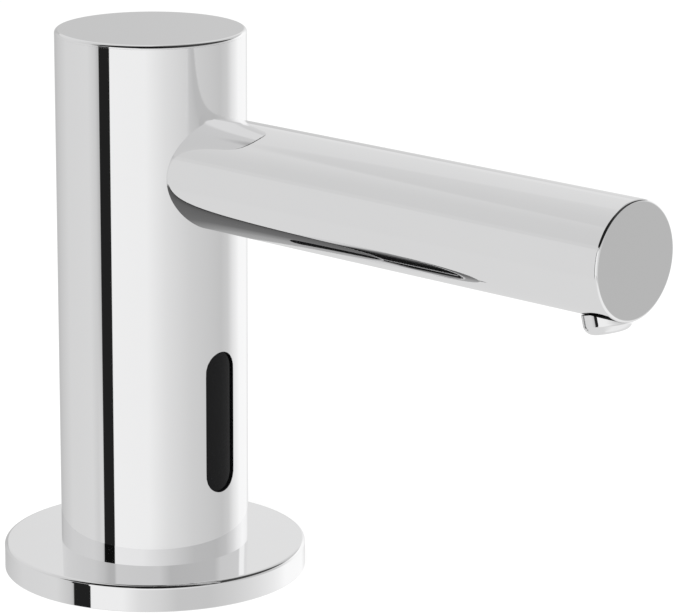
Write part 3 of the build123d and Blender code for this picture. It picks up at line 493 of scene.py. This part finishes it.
def nozzle_shell():
    """Turned nozzle on its leaning axis: rounded head, small outlet, wide bore and a plain stem."""
    top = nozzle_head_l + nozzle_stem_l
    corners = [
        (nozzle_bore_r, top),
        (nozzle_bore_r, nozzle_floor_t),
        (nozzle_outlet_r, nozzle_floor_t),
        (nozzle_outlet_r, 0),
        (nozzle_r, 0),
        (nozzle_r, nozzle_head_l),
        (nozzle_stem_r, nozzle_head_l),
        (nozzle_stem_r, top),
        (nozzle_bore_r, top),
    ]
    radii = [0, 0, 0, nozzle_lip_round, nozzle_round, nozzle_neck_round, 0, nozzle_stem_round, 0]
    runs = profile_runs(corners, radii, steps=12)
    return piece_from("nozzle_shell", turned(runs, nozzle_tip, nozzle_axis, steps=96))


# Sensor window
def window_lens():
    """Curved face in the slot, with a thin rim up the slot's wall and a wider lip behind the column's wall.

    The slot's outline is a spine point plus its half width times (cos t, sin t). The face closes from the
    outline to the spine, and y follows the cylinder: y = -sqrt(R^2 - x^2).
    """
    half_w = window_w / 2 - fit_gap
    spine = (window_h - window_w) / 2
    face_r = column_r - window_recess
    lip_r = bore_r - lens_lip_gap
    t = np.linspace(0, 2 * np.pi, circle_points)
    t = np.sort(np.concatenate((t, (0.0, math.pi))))
    out = np.stack((np.cos(t), np.sin(t)), axis=1)
    above = np.where(np.arange(len(t)) < len(t) // 2, 1.0, -1.0)
    # The outline starts at the lower end of its right side
    above[0] = -1.0

    def ring(offset, radius=None, depth=None):
        x = offset * out[:, 0]
        z = window_z + spine * above + offset * out[:, 1]
        y = np.full(len(t), -depth) if depth else -np.sqrt(radius**2 - x**2)
        return np.stack((x, y, z), axis=1)

    def flat_out(sign):
        normals = np.stack((sign * out[:, 0], np.zeros(len(t)), sign * out[:, 1]), axis=1)
        return np.stack((normals, normals))

    def curved_out(points):
        normal = points * np.array((1, 1, 0))
        return normal / np.linalg.norm(normal, axis=-1, keepdims=True)

    inner = half_w - lens_rim_t
    outer = half_w + lens_lip
    rim_r = column_r - lens_rim_below
    face = np.stack([ring(inner * share, face_r) for share in closing_shares])
    rim_wall = np.stack((ring(inner, face_r), ring(inner, rim_r)))
    rim_top = np.stack((ring(inner, rim_r), ring(half_w, rim_r)))
    side = np.stack((ring(half_w, rim_r), ring(half_w, lip_r)))
    lip_face = np.stack((ring(half_w, lip_r), ring(outer, lip_r)))
    lip_side = np.stack((ring(outer, lip_r), ring(outer, depth=lens_back)))
    back = np.stack([ring(outer * share, depth=lens_back) for share in closing_shares])
    behind = np.broadcast_to(np.array((0, 1.0, 0)), back.shape)
    return piece_from("window_lens", [
        (face, curved_out(face), None),
        (rim_wall, flat_out(-1), None),
        (rim_top, curved_out(rim_top), None),
        (side, flat_out(1), None),
        (lip_face, curved_out(lip_face), None),
        (lip_side, flat_out(1), None),
        (back, behind, None),
    ])


# Threaded shank
def shank_thread():
    """Threaded tube: the radius is r - depth * s(z / pitch - a / 2 pi), where s is a rounded ridge.

    The ridge fades out near both ends. The right-handed thread climbs with the angle.
    """
    inner_r = shank_r - shank_wall
    turns = np.linspace(0, 2 * np.pi, circle_points)
    rows = int(round((shank_high.z - shank_low.z) / thread_pitch * thread_rows))
    angle, height = np.meshgrid(turns, np.linspace(shank_low.z, shank_high.z, rows + 1))
    wave = np.abs(2 * np.mod(height / thread_pitch - angle / (2 * np.pi), 1.0) - 1)
    ridge = np.clip(ridge_stretch * wave - ridge_lowering, 0, 1)
    nearest = np.minimum(height - shank_low.z, shank_high.z - height)
    fade = np.clip(nearest / thread_run_out, 0, 1)
    radius = shank_r - thread_depth * ridge * fade - thread_end_drop * (1 - fade)
    place = np.stack((radius * np.cos(angle), radius * np.sin(angle), height), axis=-1)
    facing = formula_normals(place)
    facing[:, 0] = facing[:, -1] = (facing[:, 0] + facing[:, -1]) / 2
    facing *= np.sign(np.sum(facing * place * np.array((1, 1, 0)), axis=-1))[..., None]
    around = level_circle(turns)
    patches = [(place, facing, None)]
    bore = np.stack([inner_r * around + np.array((0, 0, z)) for z in (shank_low.z, shank_high.z)])
    patches.append((bore, np.stack((-around, -around)), None))
    for row, sign in ((0, -1), (-1, 1)):
        end = np.stack((place[row], bore[row]))
        patches.append((end, np.broadcast_to(np.array((0, 0, float(sign))), end.shape), None))
    return piece_from("shank_thread", patches)


# Valve spring
def valve_coil():
    """Round wire along a helix, with both ends cut flat.

    The wire's middle is at R (cos a, sin a) and rises evenly with the turn a, and its surface is a ring
    about that middle.
    """
    coil_r = (coil_high.x - coil_low.x) / 2 - coil_wire_r
    middle = (np.array(coil_low) + np.array(coil_high)) / 2
    turn = np.linspace(0, 2 * np.pi * coil_turns, coil_steps * coil_turns + 1)
    rise = (coil_high.z - coil_low.z - 2 * coil_wire_r) / turn[-1]
    out = level_circle(turn)
    centre = coil_r * out + np.array((middle[0], middle[1], coil_low.z + coil_wire_r))
    centre[:, 2] += rise * turn
    along = np.stack((-coil_r * np.sin(turn), coil_r * np.cos(turn), np.full(len(turn), rise)), axis=1)
    along /= np.linalg.norm(along, axis=1, keepdims=True)
    ring = np.linspace(0, 2 * np.pi, wire_points)[:, None]
    facing = np.cos(ring) * out[:, None] + np.sin(ring) * np.cross(along, out)[:, None]
    place = centre[:, None] + coil_wire_r * facing
    patches = [(place, facing, None)]
    for end, sign in ((0, -1), (-1, 1)):
        disc = np.stack((np.broadcast_to(centre[end], place[end].shape), place[end]))
        patches.append((disc, np.broadcast_to(sign * along[end], disc.shape), None))
    return piece_from("valve_coil", patches)


new_pieces = [
    (column_shell(), "root", "column_chrome", ("column_tube",)),
    (cap_shell(), "root", "cap_chrome", ("top_cap",)),
    (flange_shell(), "root", "flange_chrome", ("flange",)),
    (spout_shell(), "root", "spout_chrome", ("spout_tube",)),
    (nozzle_shell(), "root", "nozzle_chrome", ("nozzle",)),
    (window_lens(), "root", "window_black", ("sensor_window",)),
    (shank_thread(), "root", "shank_brass", ("shank",)),
    (valve_coil(), "root", "stainless", ("valve_spring",)),
]


# Nodes of materials
def grey(tone):
    """Opaque grey of one tone."""
    return (tone, tone, tone, 1)


def maths(tree, operation, first, second=None, clamp=False):
    """Math node whose inputs are sockets or numbers; returns its result."""
    node = tree.nodes.new("ShaderNodeMath")
    node.operation = operation
    node.use_clamp = clamp
    for socket, value in zip(node.inputs, (first, second)):
        if isinstance(value, bpy.types.NodeSocket):
            tree.links.new(value, socket)
        elif value is not None:
            socket.default_value = value
    return node.outputs[0]


def noise(tree, vector, scale, detail=3.0, roughness=0.5, stretch=None):
    """Noise over object coordinates, stretched first if asked; returns its value from 0 to 1."""
    node = tree.nodes.new("ShaderNodeTexNoise")
    for label, value in (("Scale", scale), ("Detail", detail), ("Roughness", roughness)):
        node.inputs[label].default_value = value
    if stretch:
        mapping = tree.nodes.new("ShaderNodeMapping")
        mapping.inputs["Scale"].default_value = stretch
        tree.links.new(vector, mapping.inputs["Vector"])
        vector = mapping.outputs[0]
    tree.links.new(vector, node.inputs["Vector"])
    return node.outputs[0]


def split_axes(tree, vector):
    """The x, y and z of a vector."""
    node = tree.nodes.new("ShaderNodeSeparateXYZ")
    tree.links.new(vector, node.inputs[0])
    return node.outputs


def blend_colours(tree, factor, first, second):
    """Mix of two colours, sockets or fixed."""
    node = tree.nodes.new("ShaderNodeMix")
    node.data_type = "RGBA"
    tree.links.new(factor, node.inputs["Factor"])
    for label, value in (("A", first), ("B", second)):
        socket = [s for s in node.inputs if s.name == label and s.type == "RGBA"][0]
        if isinstance(value, bpy.types.NodeSocket):
            tree.links.new(value, socket)
        else:
            socket.default_value = value
    return [s for s in node.outputs if s.type == "RGBA"][0]


# Node groups
def finish_group(name, **amounts):
    """Empty group: Vector and named amounts go in, and a roughness, a height and a mask come out."""
    group = bpy.data.node_groups.new(name, "ShaderNodeTree")
    group.interface.new_socket("Vector", in_out="INPUT", socket_type="NodeSocketVector")
    for label, amount in amounts.items():
        socket = group.interface.new_socket(label, in_out="INPUT", socket_type="NodeSocketFloat")
        socket.default_value = amount
    for label in ("Roughness", "Height", "Mask"):
        group.interface.new_socket(label, in_out="OUTPUT", socket_type="NodeSocketFloat")
    return group, group.nodes.new("NodeGroupInput").outputs, group.nodes.new("NodeGroupOutput").inputs


def give_finish(group, given, results, height, cloud, amount, middle=0.5):
    """Joins a group's results: the roughness varies by an amount as the cloud leaves its middle."""
    spread = maths(group, "MULTIPLY", maths(group, "SUBTRACT", cloud, middle), given[amount])
    group.links.new(maths(group, "ADD", spread, given["Roughness"], clamp=True), results["Roughness"])
    group.links.new(height, results["Height"])
    group.links.new(cloud, results["Mask"])
    return group


def polish_group():
    """Hand-polished metal: cloudy roughness, hair-fine scratches as height, a faint shade mask."""
    group, given, results = finish_group("polished_metal", Roughness=0.04, Cloud=0.02, Scratch=0.5)
    cloud = noise(group, given["Vector"], scale=55.0, detail=4.0, roughness=0.6)
    fine = noise(group, given["Vector"], scale=900.0, detail=2.0, stretch=(1.0, 1.0, 0.12))
    height = maths(group, "MULTIPLY", fine, given["Scratch"])
    return give_finish(group, given, results, height, cloud, "Cloud", middle=0.35)


def turning_group():
    """Lathe marks: fine rings by the distance from the axis and by the height, broken up by noise."""
    group, given, results = finish_group("turning_marks", Pitch=0.3 * MM, Roughness=0.3, Stain=0.2)
    x, y, z = split_axes(group, given["Vector"])
    square = maths(group, "ADD", maths(group, "MULTIPLY", x, x), maths(group, "MULTIPLY", y, y))
    reach = maths(group, "ADD", maths(group, "SQRT", square), z)
    turns = maths(group, "DIVIDE", reach, given["Pitch"])
    wave = maths(group, "SINE", maths(group, "MULTIPLY", turns, 2 * math.pi))
    stain = noise(group, given["Vector"], scale=120.0, detail=5.0, roughness=0.65)
    least_mark = 0.3
    height = maths(group, "MULTIPLY", wave, maths(group, "ADD", stain, least_mark))
    return give_finish(group, given, results, height, stain, "Stain")


def moulded_group():
    """Moulded plastic or rubber: fine spark-eroded grain as height, uneven gloss, slow tone changes."""
    group, given, results = finish_group("moulded_grain", Grain=2500.0, Roughness=0.45, Unevenness=0.15)
    cells = group.nodes.new("ShaderNodeTexVoronoi")
    group.links.new(given["Vector"], cells.inputs["Vector"])
    group.links.new(given["Grain"], cells.inputs["Scale"])
    slow = noise(group, given["Vector"], scale=90.0)
    quick = noise(group, given["Vector"], scale=1400.0, detail=2.0)
    cell_share, quick_share = 0.6, 0.4
    grain = maths(group, "MULTIPLY", cells.outputs[0], cell_share)
    height = maths(group, "ADD", grain, maths(group, "MULTIPLY", quick, quick_share))
    return give_finish(group, given, results, height, slow, "Unevenness")


polish = polish_group()
turning = turning_group()
moulding = moulded_group()

# Materials
chrome_tone = 0.92
# Chrome has a trace of blue where it is clean and is a little darker where it is clouded
chrome_tones = (
    (chrome_tone, chrome_tone, chrome_tone * 1.004),
    (chrome_tone * 0.985, chrome_tone * 0.985, chrome_tone * 0.99),
)
chrome_depth = 0.004
# Painted shade: base tone that dims the mirror image of the spout's flat end face
end_face_painted_shade = 0.76
# Painted shade: base tone of the nozzle where another piece mirrors it
painted_shade_tone = 0.02
metal_bump = 0.1 * MM
grain_bump = 0.08 * MM
metal_sockets = {"Metallic": 1.0}


def finish_material(name, group, tones, amounts, depth, distance, sockets):
    """Principled material: a group gives roughness, height and a mask that blends two tones."""
    material = bpy.data.materials.new(name)
    material.use_nodes = True
    tree = material.node_tree
    shader = tree.nodes["Principled BSDF"]
    for label, value in sockets.items():
        shader.inputs[label].default_value = value
    place = tree.nodes.new("ShaderNodeTexCoord")
    effect = tree.nodes.new("ShaderNodeGroup")
    effect.node_tree = group
    tree.links.new(place.outputs["Object"], effect.inputs["Vector"])
    for label, value in amounts.items():
        effect.inputs[label].default_value = value
    colour = blend_colours(tree, effect.outputs["Mask"], tones[0] + (1,), tones[1] + (1,))
    bump = tree.nodes.new("ShaderNodeBump")
    bump.inputs["Strength"].default_value = depth
    bump.inputs["Distance"].default_value = distance
    tree.links.new(colour, shader.inputs["Base Color"])
    tree.links.new(effect.outputs["Roughness"], shader.inputs["Roughness"])
    tree.links.new(effect.outputs["Height"], bump.inputs["Height"])
    tree.links.new(bump.outputs["Normal"], shader.inputs["Normal"])
    return material


def chrome(name):
    """Mirror chrome plate with the faint clouding of a wiped surface."""
    amounts = {"Roughness": 0.02, "Cloud": 0.03, "Scratch": 0.4}
    return finish_material(name, polish, chrome_tones, amounts, chrome_depth, metal_bump, metal_sockets)


def tone_where(material, where, tone):
    """Material whose base colour turns to a grey tone where a mask is 1."""
    tree = material.node_tree
    base = tree.nodes["Principled BSDF"].inputs["Base Color"]
    bright = base.links[0].from_socket
    tree.links.new(blend_colours(tree, where, bright, grey(tone)), base)
    return material


def with_painted_shade_end(material):
    """Painted shade: a darker base colour on the spout's flat end face, found by its place along the spout,
    dims the face's mirror image.
    """
    tree = material.node_tree
    place = tree.nodes.new("ShaderNodeTexCoord")
    y = split_axes(tree, place.outputs["Object"])[1]
    on_face = maths(tree, "LESS_THAN", y, end_disc_depth - spout_reach - end_longer)
    return tone_where(material, on_face, end_face_painted_shade)


def painted_shade_in_mirrors(material):
    """Painted shade: the plate's base colour turns dark wherever another piece mirrors it, for the side
    towards the spout lies in its shade.
    """
    tree = material.node_tree
    path = tree.nodes.new("ShaderNodeLightPath")
    return tone_where(material, path.outputs["Is Glossy Ray"], painted_shade_tone)


def turned_metal(name, light, dark, pitch, roughness, depth):
    """Machined metal with lathe marks and light staining."""
    amounts = {"Pitch": pitch * MM, "Roughness": roughness, "Stain": 0.25}
    return finish_material(name, turning, (light, dark), amounts, depth, metal_bump, metal_sockets)


def plastic(name, light, dark, roughness, grain, depth, sockets):
    """Moulded plastic or rubber with its grain."""
    amounts = {"Grain": grain, "Roughness": roughness, "Unevenness": 0.16}
    return finish_material(name, moulding, (light, dark), amounts, depth, grain_bump, sockets)


brass = ((0.80, 0.62, 0.33), (0.66, 0.48, 0.22))
steel = ((0.66, 0.66, 0.65), (0.52, 0.52, 0.52))
# Light and dark tone, pitch of the lathe marks in mm, roughness, depth of the marks
metal_looks = {
    "shank_brass": (*brass, 0.3, 0.25, 0.05),
    "nut_brass": (*brass, 0.3, 0.3, 0.05),
    "brass": (*brass, 0.3, 0.28, 0.05),
    "bronze": ((0.55, 0.36, 0.20), (0.42, 0.26, 0.13), 0.3, 0.5, 0.05),
    "washer_steel": (*steel, 0.45, 0.34, 0.05),
    "stainless": (*steel, 0.25, 0.26, 0.05),
    "motor_steel": ((0.58, 0.59, 0.60), (0.47, 0.48, 0.49), 1.2, 0.36, 0.05),
    "rotor_steel": ((0.42, 0.41, 0.40), (0.30, 0.29, 0.28), 0.5, 0.42, 0.3),
    "connector_metal": ((0.72, 0.71, 0.67), (0.60, 0.59, 0.55), 0.4, 0.25, 0.05),
}
# Light and dark tone, roughness, cells of grain per metre, depth of the grain
plastic_looks = {
    "window_black": ((0.0012, 0.0012, 0.0014), (0.002, 0.002, 0.0022), 0.05, 6000.0, 0.01),
    "white_plastic": ((0.80, 0.80, 0.77), (0.74, 0.74, 0.71), 0.42, 2500.0, 0.15),
    "grey_plastic": ((0.20, 0.21, 0.22), (0.16, 0.17, 0.18), 0.42, 2500.0, 0.15),
    "black_plastic": ((0.022, 0.022, 0.024), (0.035, 0.035, 0.037), 0.4, 2500.0, 0.15),
    "gear_plastic": ((0.82, 0.80, 0.72), (0.74, 0.72, 0.64), 0.35, 3500.0, 0.08),
    "poppet_plastic": ((0.12, 0.25, 0.55), (0.09, 0.20, 0.46), 0.35, 3500.0, 0.08),
    "silicone": ((0.72, 0.74, 0.76), (0.62, 0.64, 0.67), 0.5, 3000.0, 0.05),
    "black_rubber": ((0.018, 0.018, 0.018), (0.03, 0.03, 0.029), 0.62, 1800.0, 0.25),
    "clamp_rubber": ((0.025, 0.025, 0.025), (0.042, 0.041, 0.04), 0.68, 1500.0, 0.3),
    "ferrite": ((0.045, 0.045, 0.048), (0.075, 0.074, 0.075), 0.7, 1200.0, 0.4),
    "circuit_board": ((0.02, 0.16, 0.06), (0.035, 0.24, 0.09), 0.32, 900.0, 0.15),
    "emitter_clear": ((0.62, 0.66, 0.76), (0.56, 0.60, 0.72), 0.12, 5000.0, 0.01),
    "receiver_dark": ((0.02, 0.02, 0.03), (0.03, 0.03, 0.045), 0.12, 5000.0, 0.01),
    "soap_tube": ((0.78, 0.80, 0.80), (0.70, 0.73, 0.73), 0.28, 4000.0, 0.04),
    "lead_black": ((0.02, 0.02, 0.02), (0.034, 0.034, 0.034), 0.45, 2500.0, 0.15),
    "lead_red": ((0.42, 0.02, 0.02), (0.33, 0.015, 0.015), 0.42, 2500.0, 0.15),
}
# Sockets that only these plastics set
plastic_sockets = {
    "window_black": {"IOR": 1.28},
    "silicone": {"Subsurface Weight": 0.3},
    "circuit_board": {"Coat Weight": 0.5},
    "soap_tube": {"Subsurface Weight": 0.2},
}
finishes = {name: chrome(name) for name in ("column_chrome", "cap_chrome", "flange_chrome")}
# The spout's flat end face gets painted shade, a darker base colour
finishes["spout_chrome"] = with_painted_shade_end(chrome("spout_chrome"))
# The nozzle gets painted shade: its base colour is dark wherever another piece mirrors it
finishes["nozzle_chrome"] = painted_shade_in_mirrors(chrome("nozzle_chrome"))
finishes.update({name: turned_metal(name, *look) for name, look in metal_looks.items()})
for name, look in plastic_looks.items():
    finishes[name] = plastic(name, *look, plastic_sockets.get(name, {}))

for piece, body, slot, nodes in new_pieces:
    piece.data.materials.append(finishes[slot])
    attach(piece, body)
    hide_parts(*nodes)
    if piece.name == "valve_coil":
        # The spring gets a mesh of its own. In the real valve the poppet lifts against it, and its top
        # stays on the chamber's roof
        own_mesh(piece)

cad_pieces = []
for subpart in frame["record"]["subparts"]:
    piece = frame["nodes"][subpart["node"]]
    cad_pieces.append(piece)
    for holder in piece.material_slots:
        holder.material = finishes[subpart["material_slot"]]

# The floor is clear to mirror rays, so the shank and what ends below this height stay out of them too
unmirrored_z = 1.0 * MM
for piece in cad_pieces + [row[0] for row in new_pieces]:
    if max(corner[2] for corner in piece.bound_box) < unmirrored_z or piece.name == "shank_thread":
        piece.visible_glossy = False

# Floor
floor_half = 3.0
floor_z = -0.03 * MM
floor_tone = 0.92
floor_roughness = 0.9
floor_glow = 0.88


def deck_floor():
    """Flat square floor under the flange, clear to mirror rays and when it is looked at from below."""
    side = np.array((-floor_half, floor_half))
    x, y = np.meshgrid(side, side)
    place = np.stack((x, y, np.full_like(x, floor_z)), axis=-1)
    floor = piece_from("floor", [(place, np.broadcast_to(up, place.shape), None)])
    material = bpy.data.materials.new("pale_floor")
    material.use_nodes = True
    tree = material.node_tree
    shader = tree.nodes["Principled BSDF"]
    shader.inputs["Base Color"].default_value = grey(floor_tone)
    shader.inputs["Roughness"].default_value = floor_roughness
    light = tree.nodes.new("ShaderNodeEmission")
    path = tree.nodes.new("ShaderNodeLightPath")
    clear = tree.nodes.new("ShaderNodeBsdfTransparent")
    shown = tree.nodes.new("ShaderNodeMixShader")
    mirrored = tree.nodes.new("ShaderNodeMixShader")
    glow = maths(tree, "MULTIPLY", path.outputs["Is Camera Ray"], floor_glow)
    tree.links.new(glow, shown.inputs["Fac"])
    tree.links.new(shader.outputs[0], shown.inputs[1])
    tree.links.new(light.outputs[0], shown.inputs[2])
    facing = tree.nodes.new("ShaderNodeNewGeometry")
    from_below = maths(tree, "MULTIPLY", facing.outputs["Backfacing"], path.outputs["Is Camera Ray"])
    unseen = maths(tree, "MAXIMUM", path.outputs["Is Glossy Ray"], from_below)
    tree.links.new(unseen, mirrored.inputs["Fac"])
    tree.links.new(shown.outputs[0], mirrored.inputs[1])
    tree.links.new(clear.outputs[0], mirrored.inputs[2])
    tree.links.new(mirrored.outputs[0], tree.nodes["Material Output"].inputs["Surface"])
    floor.data.materials.append(material)


# Tones of the studio that the mirror finish shows, from the table up to the ceiling. Each is a row of
# azimuths, in degrees from the camera's side and rising to the camera's right, with the tone there. The
# dim rows stand for what the object's own pieces shade, and only a mirror image in another shows them.
table_tones = ((-180, 0.73), (-20, 0.74), (30, 0.90), (100, 0.90), (140, 0.78), (180, 0.73))
dim_table_tones = (
    (-180, 0.06), (-172, 0.004), (-92, 0.004), (-76, 0.09), (-50, 0.14), (20, 0.18), (42, 0.26),
    (66, 0.33), (78, 0.39), (100, 0.42), (150, 0.46), (178, 0.60),
)
skirting_tones = (
    (-180, 0.74), (-160, 0.56), (-118, 0.71), (-78, 0.73), (-64, 0.60), (-62, 0.50), (-47.6, 0.92),
    (-22, 0.92), (-9, 0.77), (6, 0.70), (20, 0.60), (44, 0.60), (64, 0.67), (88, 0.79),
    (106, 0.90), (122, 1.03), (156, 1.03), (180, 0.74),
)
wall_tones = (
    (-180, 0.63), (-177, 0.68), (-174, 0.80), (-160, 0.53), (-140, 0.62), (-118, 0.71), (-78, 0.73),
    (-67, 0.64), (-62.4, 0.50), (-47.6, 0.93), (-4, 0.92), (20, 0.78), (50, 0.67), (80, 0.61), (94, 0.58),
    (106, 0.64), (116, 0.82), (132, 1.01), (156, 1.01), (168, 0.86), (176, 0.74), (180, 0.63),
)
upper_wall_tones = (
    (-180, 0.62), (-170, 0.55), (-160, 0.52), (-146, 0.62), (-118, 0.71), (-78, 0.73), (-64, 0.66),
    (-62.4, 0.52), (-47.6, 0.93), (-12, 0.91), (6, 0.81), (30, 0.67), (52, 0.56), (84, 0.54),
    (100, 0.60), (114, 0.78), (126, 0.97), (140, 1.08), (158, 1.02), (172, 0.80), (180, 0.62),
)
behind_tones = ((-180, 0.80), (-176.5, 0.80), (-173.5, 0.75), (0, 0.75), (160, 0.80), (180, 0.80))
ledge_tones = (
    (-180, 0.80), (-176, 0.78), (-172, 0.75), (-78, 0.68), (-64, 0.60), (-56, 0.51), (-49, 0.51),
    (-46, 0.69), (8, 0.67), (22, 0.53), (82, 0.55), (92, 0.67), (130, 0.70), (134, 1.0), (147, 1.0),
    (153, 0.80), (180, 0.80),
)
screen_tones = (
    (-180, 0.77), (-150, 0.74), (-118, 0.73), (-96, 0.67), (-84, 0.66), (50, 0.69), (60, 0.82),
    (108, 0.82), (120, 0.71), (180, 0.77),
)
ceiling_tones = (
    (-180, 0.76), (-165, 0.74), (-150, 0.70), (-125, 0.67), (-97, 0.65), (-86, 0.62), (-79, 0.01),
    (104, 0.01), (120, 0.05), (135, 0.15), (150, 0.24), (170, 0.34), (178, 0.76),
)
dim_ceiling_tones = (
    (-180, 0.30), (-150, 0.30), (-138, 0.03), (-121, 0.03), (-117, 0.24), (-108, 0.22), (-98, 0.01),
    (104, 0.01), (120, 0.03), (135, 0.10), (150, 0.20), (165, 0.30),
)
canopy_tones = (
    (-180, 0.012), (20, 0.015), (45, 0.03), (62, 0.05), (85, 0.06), (100, 0.05), (120, 0.06), (126, 0.40),
    (132, 0.60), (180, 0.70),
)
canopy_share = ((-180, 0.0), (-80, 0.0), (-75, 1.0), (150, 1.0), (168, 0.0), (180, 0.0))
glow_tone = 0.71
stand_tone = 0.016
dim_stand_tone = 0.0045

# Edges of the studio's parts: two angles, in degrees, between which a part fades in or out. A rise is a
# height above the horizon and a turn is an azimuth.
skirting_rise = (-27.97, -20.98)
wall_rise = (-18.9, -18.6)
upper_wall_rise = (-3, 7)
glow_top_rise = (-18, -14)
glow_left_turn = (-71, -65)
glow_right_turn = (-62, -61)
stand_rise = (-28, -21)
stand_left_turn = (-62.3, -61.3)
stand_right_turn = (-47.7, -47.0)
behind_rise = (12, 15)
behind_turn = (167, 173)
ledge_rise = (17.6, 19.2)
screen_rise = (22, 24)
ceiling_rise = (46.8, 48.4)
canopy_left_rise = (25, 27)
canopy_right_rise = (18.8, 19.8)
canopy_middle_turn = (-16, -8)

# How much higher the table reaches from the second mirror image on, and lower the ceiling from the third,
# as sines
dim_table_rise = 0.07
dim_ceiling_drop = 0.018
world_level = 0.7

# Turn about the upright axis that brings azimuth 0 to the camera's side
studio_turn = math.radians(137.7)


def tone_ramp(tree, factor, stops):
    """Colour ramp of grey tones at places from 0 to 1."""
    node = tree.nodes.new("ShaderNodeValToRGB")
    ramp = node.color_ramp
    while len(ramp.elements) < len(stops):
        ramp.elements.new(0.5)
    for element, (place, tone) in zip(ramp.elements, stops):
        element.position = place
        element.color = grey(tone)
    tree.links.new(factor, node.inputs[0])
    return node.outputs[0]


def smooth(tree, value, low, high):
    """Smooth step from 0 at low to 1 at high."""
    node = tree.nodes.new("ShaderNodeMapRange")
    node.interpolation_type = "SMOOTHSTEP"
    node.inputs["From Min"].default_value = low
    node.inputs["From Max"].default_value = high
    tree.links.new(value, node.inputs["Value"])
    return node.outputs["Result"]


def studio_world():
    """White background, even light, and for mirror rays a studio of pale parts under a dark canopy.

    The turned direction gives a rise, as a sine, and an azimuth. Each part of the studio covers those
    before it, from the table up, where the direction lies past the part's edges.
    """
    world = bpy.data.worlds.new("studio")
    bpy.context.scene.world = world
    world.use_nodes = True
    tree = world.node_tree
    place = tree.nodes.new("ShaderNodeTexCoord")
    turn = tree.nodes.new("ShaderNodeVectorRotate")
    turn.rotation_type = "Z_AXIS"
    turn.inputs["Angle"].default_value = studio_turn
    tree.links.new(place.outputs["Generated"], turn.inputs["Vector"])
    x, y, rise = split_axes(tree, turn.outputs[0])
    angle = maths(tree, "ARCTAN2", y, x)
    round_share = maths(tree, "ADD", maths(tree, "DIVIDE", angle, 2 * math.pi), 0.5)

    # Glossy Depth counts the mirror images that the ray has passed
    path = tree.nodes.new("ShaderNodeLightPath")
    once = maths(tree, "LESS_THAN", path.outputs["Glossy Depth"], 1.5)
    thrice = maths(tree, "GREATER_THAN", path.outputs["Glossy Depth"], 2.5)

    # The ramp runs once round, from behind, over the left side, to behind again
    def band(tones):
        return tone_ramp(tree, round_share, [((azimuth + 180) / 360, tone) for azimuth, tone in tones])

    def past_rise(edge, height=rise):
        return smooth(tree, height, *[math.sin(math.radians(value)) for value in edge])

    def past_turn(edge, turned_by=angle):
        return smooth(tree, turned_by, *[math.radians(value) for value in edge])

    def within(*shares):
        product = shares[0]
        for share in shares[1:]:
            product = maths(tree, "MULTIPLY", product, share)
        return product

    def rest_of(share):
        return maths(tree, "SUBTRACT", 1.0, share)

    def by_image(dim, bright):
        return blend_colours(tree, once, dim, bright)

    lowered = maths(tree, "SUBTRACT", rise, maths(tree, "MULTIPLY", rest_of(once), dim_table_rise))
    raised = maths(tree, "ADD", rise, maths(tree, "MULTIPLY", thrice, dim_ceiling_drop))
    glow_width = within(past_turn(glow_left_turn), rest_of(past_turn(glow_right_turn)))
    glow = within(glow_width, past_rise(wall_rise), rest_of(past_rise(glow_top_rise)))
    stand_width = within(past_turn(stand_left_turn), rest_of(past_turn(stand_right_turn)))
    right_canopy = within(past_turn(canopy_middle_turn), past_rise(canopy_right_rise))
    canopy_edge = maths(tree, "MAXIMUM", past_rise(canopy_left_rise), right_canopy)
    both_ways = maths(tree, "ABSOLUTE", angle)
    studio = by_image(band(dim_table_tones), band(table_tones))
    for share, tones in (
        (past_rise(skirting_rise, lowered), band(skirting_tones)),
        (past_rise(wall_rise), band(wall_tones)),
        (past_rise(upper_wall_rise), band(upper_wall_tones)),
        (glow, grey(glow_tone)),
        (within(stand_width, past_rise(stand_rise)), by_image(grey(dim_stand_tone), grey(stand_tone))),
        (within(past_rise(behind_rise), past_turn(behind_turn, both_ways)), band(behind_tones)),
        (past_rise(ledge_rise), band(ledge_tones)),
        (past_rise(screen_rise), band(screen_tones)),
        (past_rise(ceiling_rise, raised), by_image(band(dim_ceiling_tones), band(ceiling_tones))),
        (within(once, band(canopy_share), canopy_edge), band(canopy_tones)),
    ):
        studio = blend_colours(tree, share, studio, tones)

    even = blend_colours(tree, path.outputs["Is Camera Ray"], grey(world_level), grey(1))
    seen = blend_colours(tree, path.outputs["Is Glossy Ray"], even, studio)
    background = tree.nodes["Background"]
    background.inputs["Strength"].default_value = 1.0
    tree.links.new(seen, background.inputs["Color"])


studio_world()
deck_floor()

# Lamps
lamp_aim = (0, -0.05, 0.06)


def soft_lamp(name, place, size, power):
    """Square area lamp that lights but isn't mirrored, aimed at the object's middle."""
    light = bpy.data.lights.new(name, "AREA")
    light.size = size
    light.energy = power
    lamp = bpy.data.objects.new(name, light)
    lamp.location = place
    lamp.rotation_euler = (Vector(lamp_aim) - Vector(place)).to_track_quat("-Z", "Y").to_euler()
    lamp.visible_glossy = False
    lamp.visible_camera = False
    bpy.context.scene.collection.objects.link(lamp)


soft_lamp("key_lamp", place=(-0.9, -0.4, 1.4), size=1.0, power=48.0)
soft_lamp("fill_lamp", place=(0.9, -0.9, 0.9), size=0.9, power=16.0)

# Camera: where the photograph was taken from, worked out from the object's outline
camera_place = Vector((-0.623095, -0.632525, 0.302824))
camera_right = Vector((0.67444443, -0.73831166, 0.00453918))
camera_up = Vector((0.18594257, 0.17580107, 0.96670541))
camera_back = Vector((-0.71452787, -0.65114505, 0.25585162))
camera_data = bpy.data.cameras.new("camera")
camera_data.sensor_width = 36.0
camera_data.lens = 190.49
camera_data.clip_start = 0.01
camera_data.clip_end = 20.0
camera = bpy.data.objects.new("camera", camera_data)
turned_axes = Matrix((camera_right, camera_up, camera_back)).transposed().to_4x4()
camera.matrix_world = Matrix.Translation(camera_place) @ turned_axes
bpy.context.scene.collection.objects.link(camera)
bpy.context.scene.camera = camera
bpy.context.scene.view_settings.view_transform = "Standard"
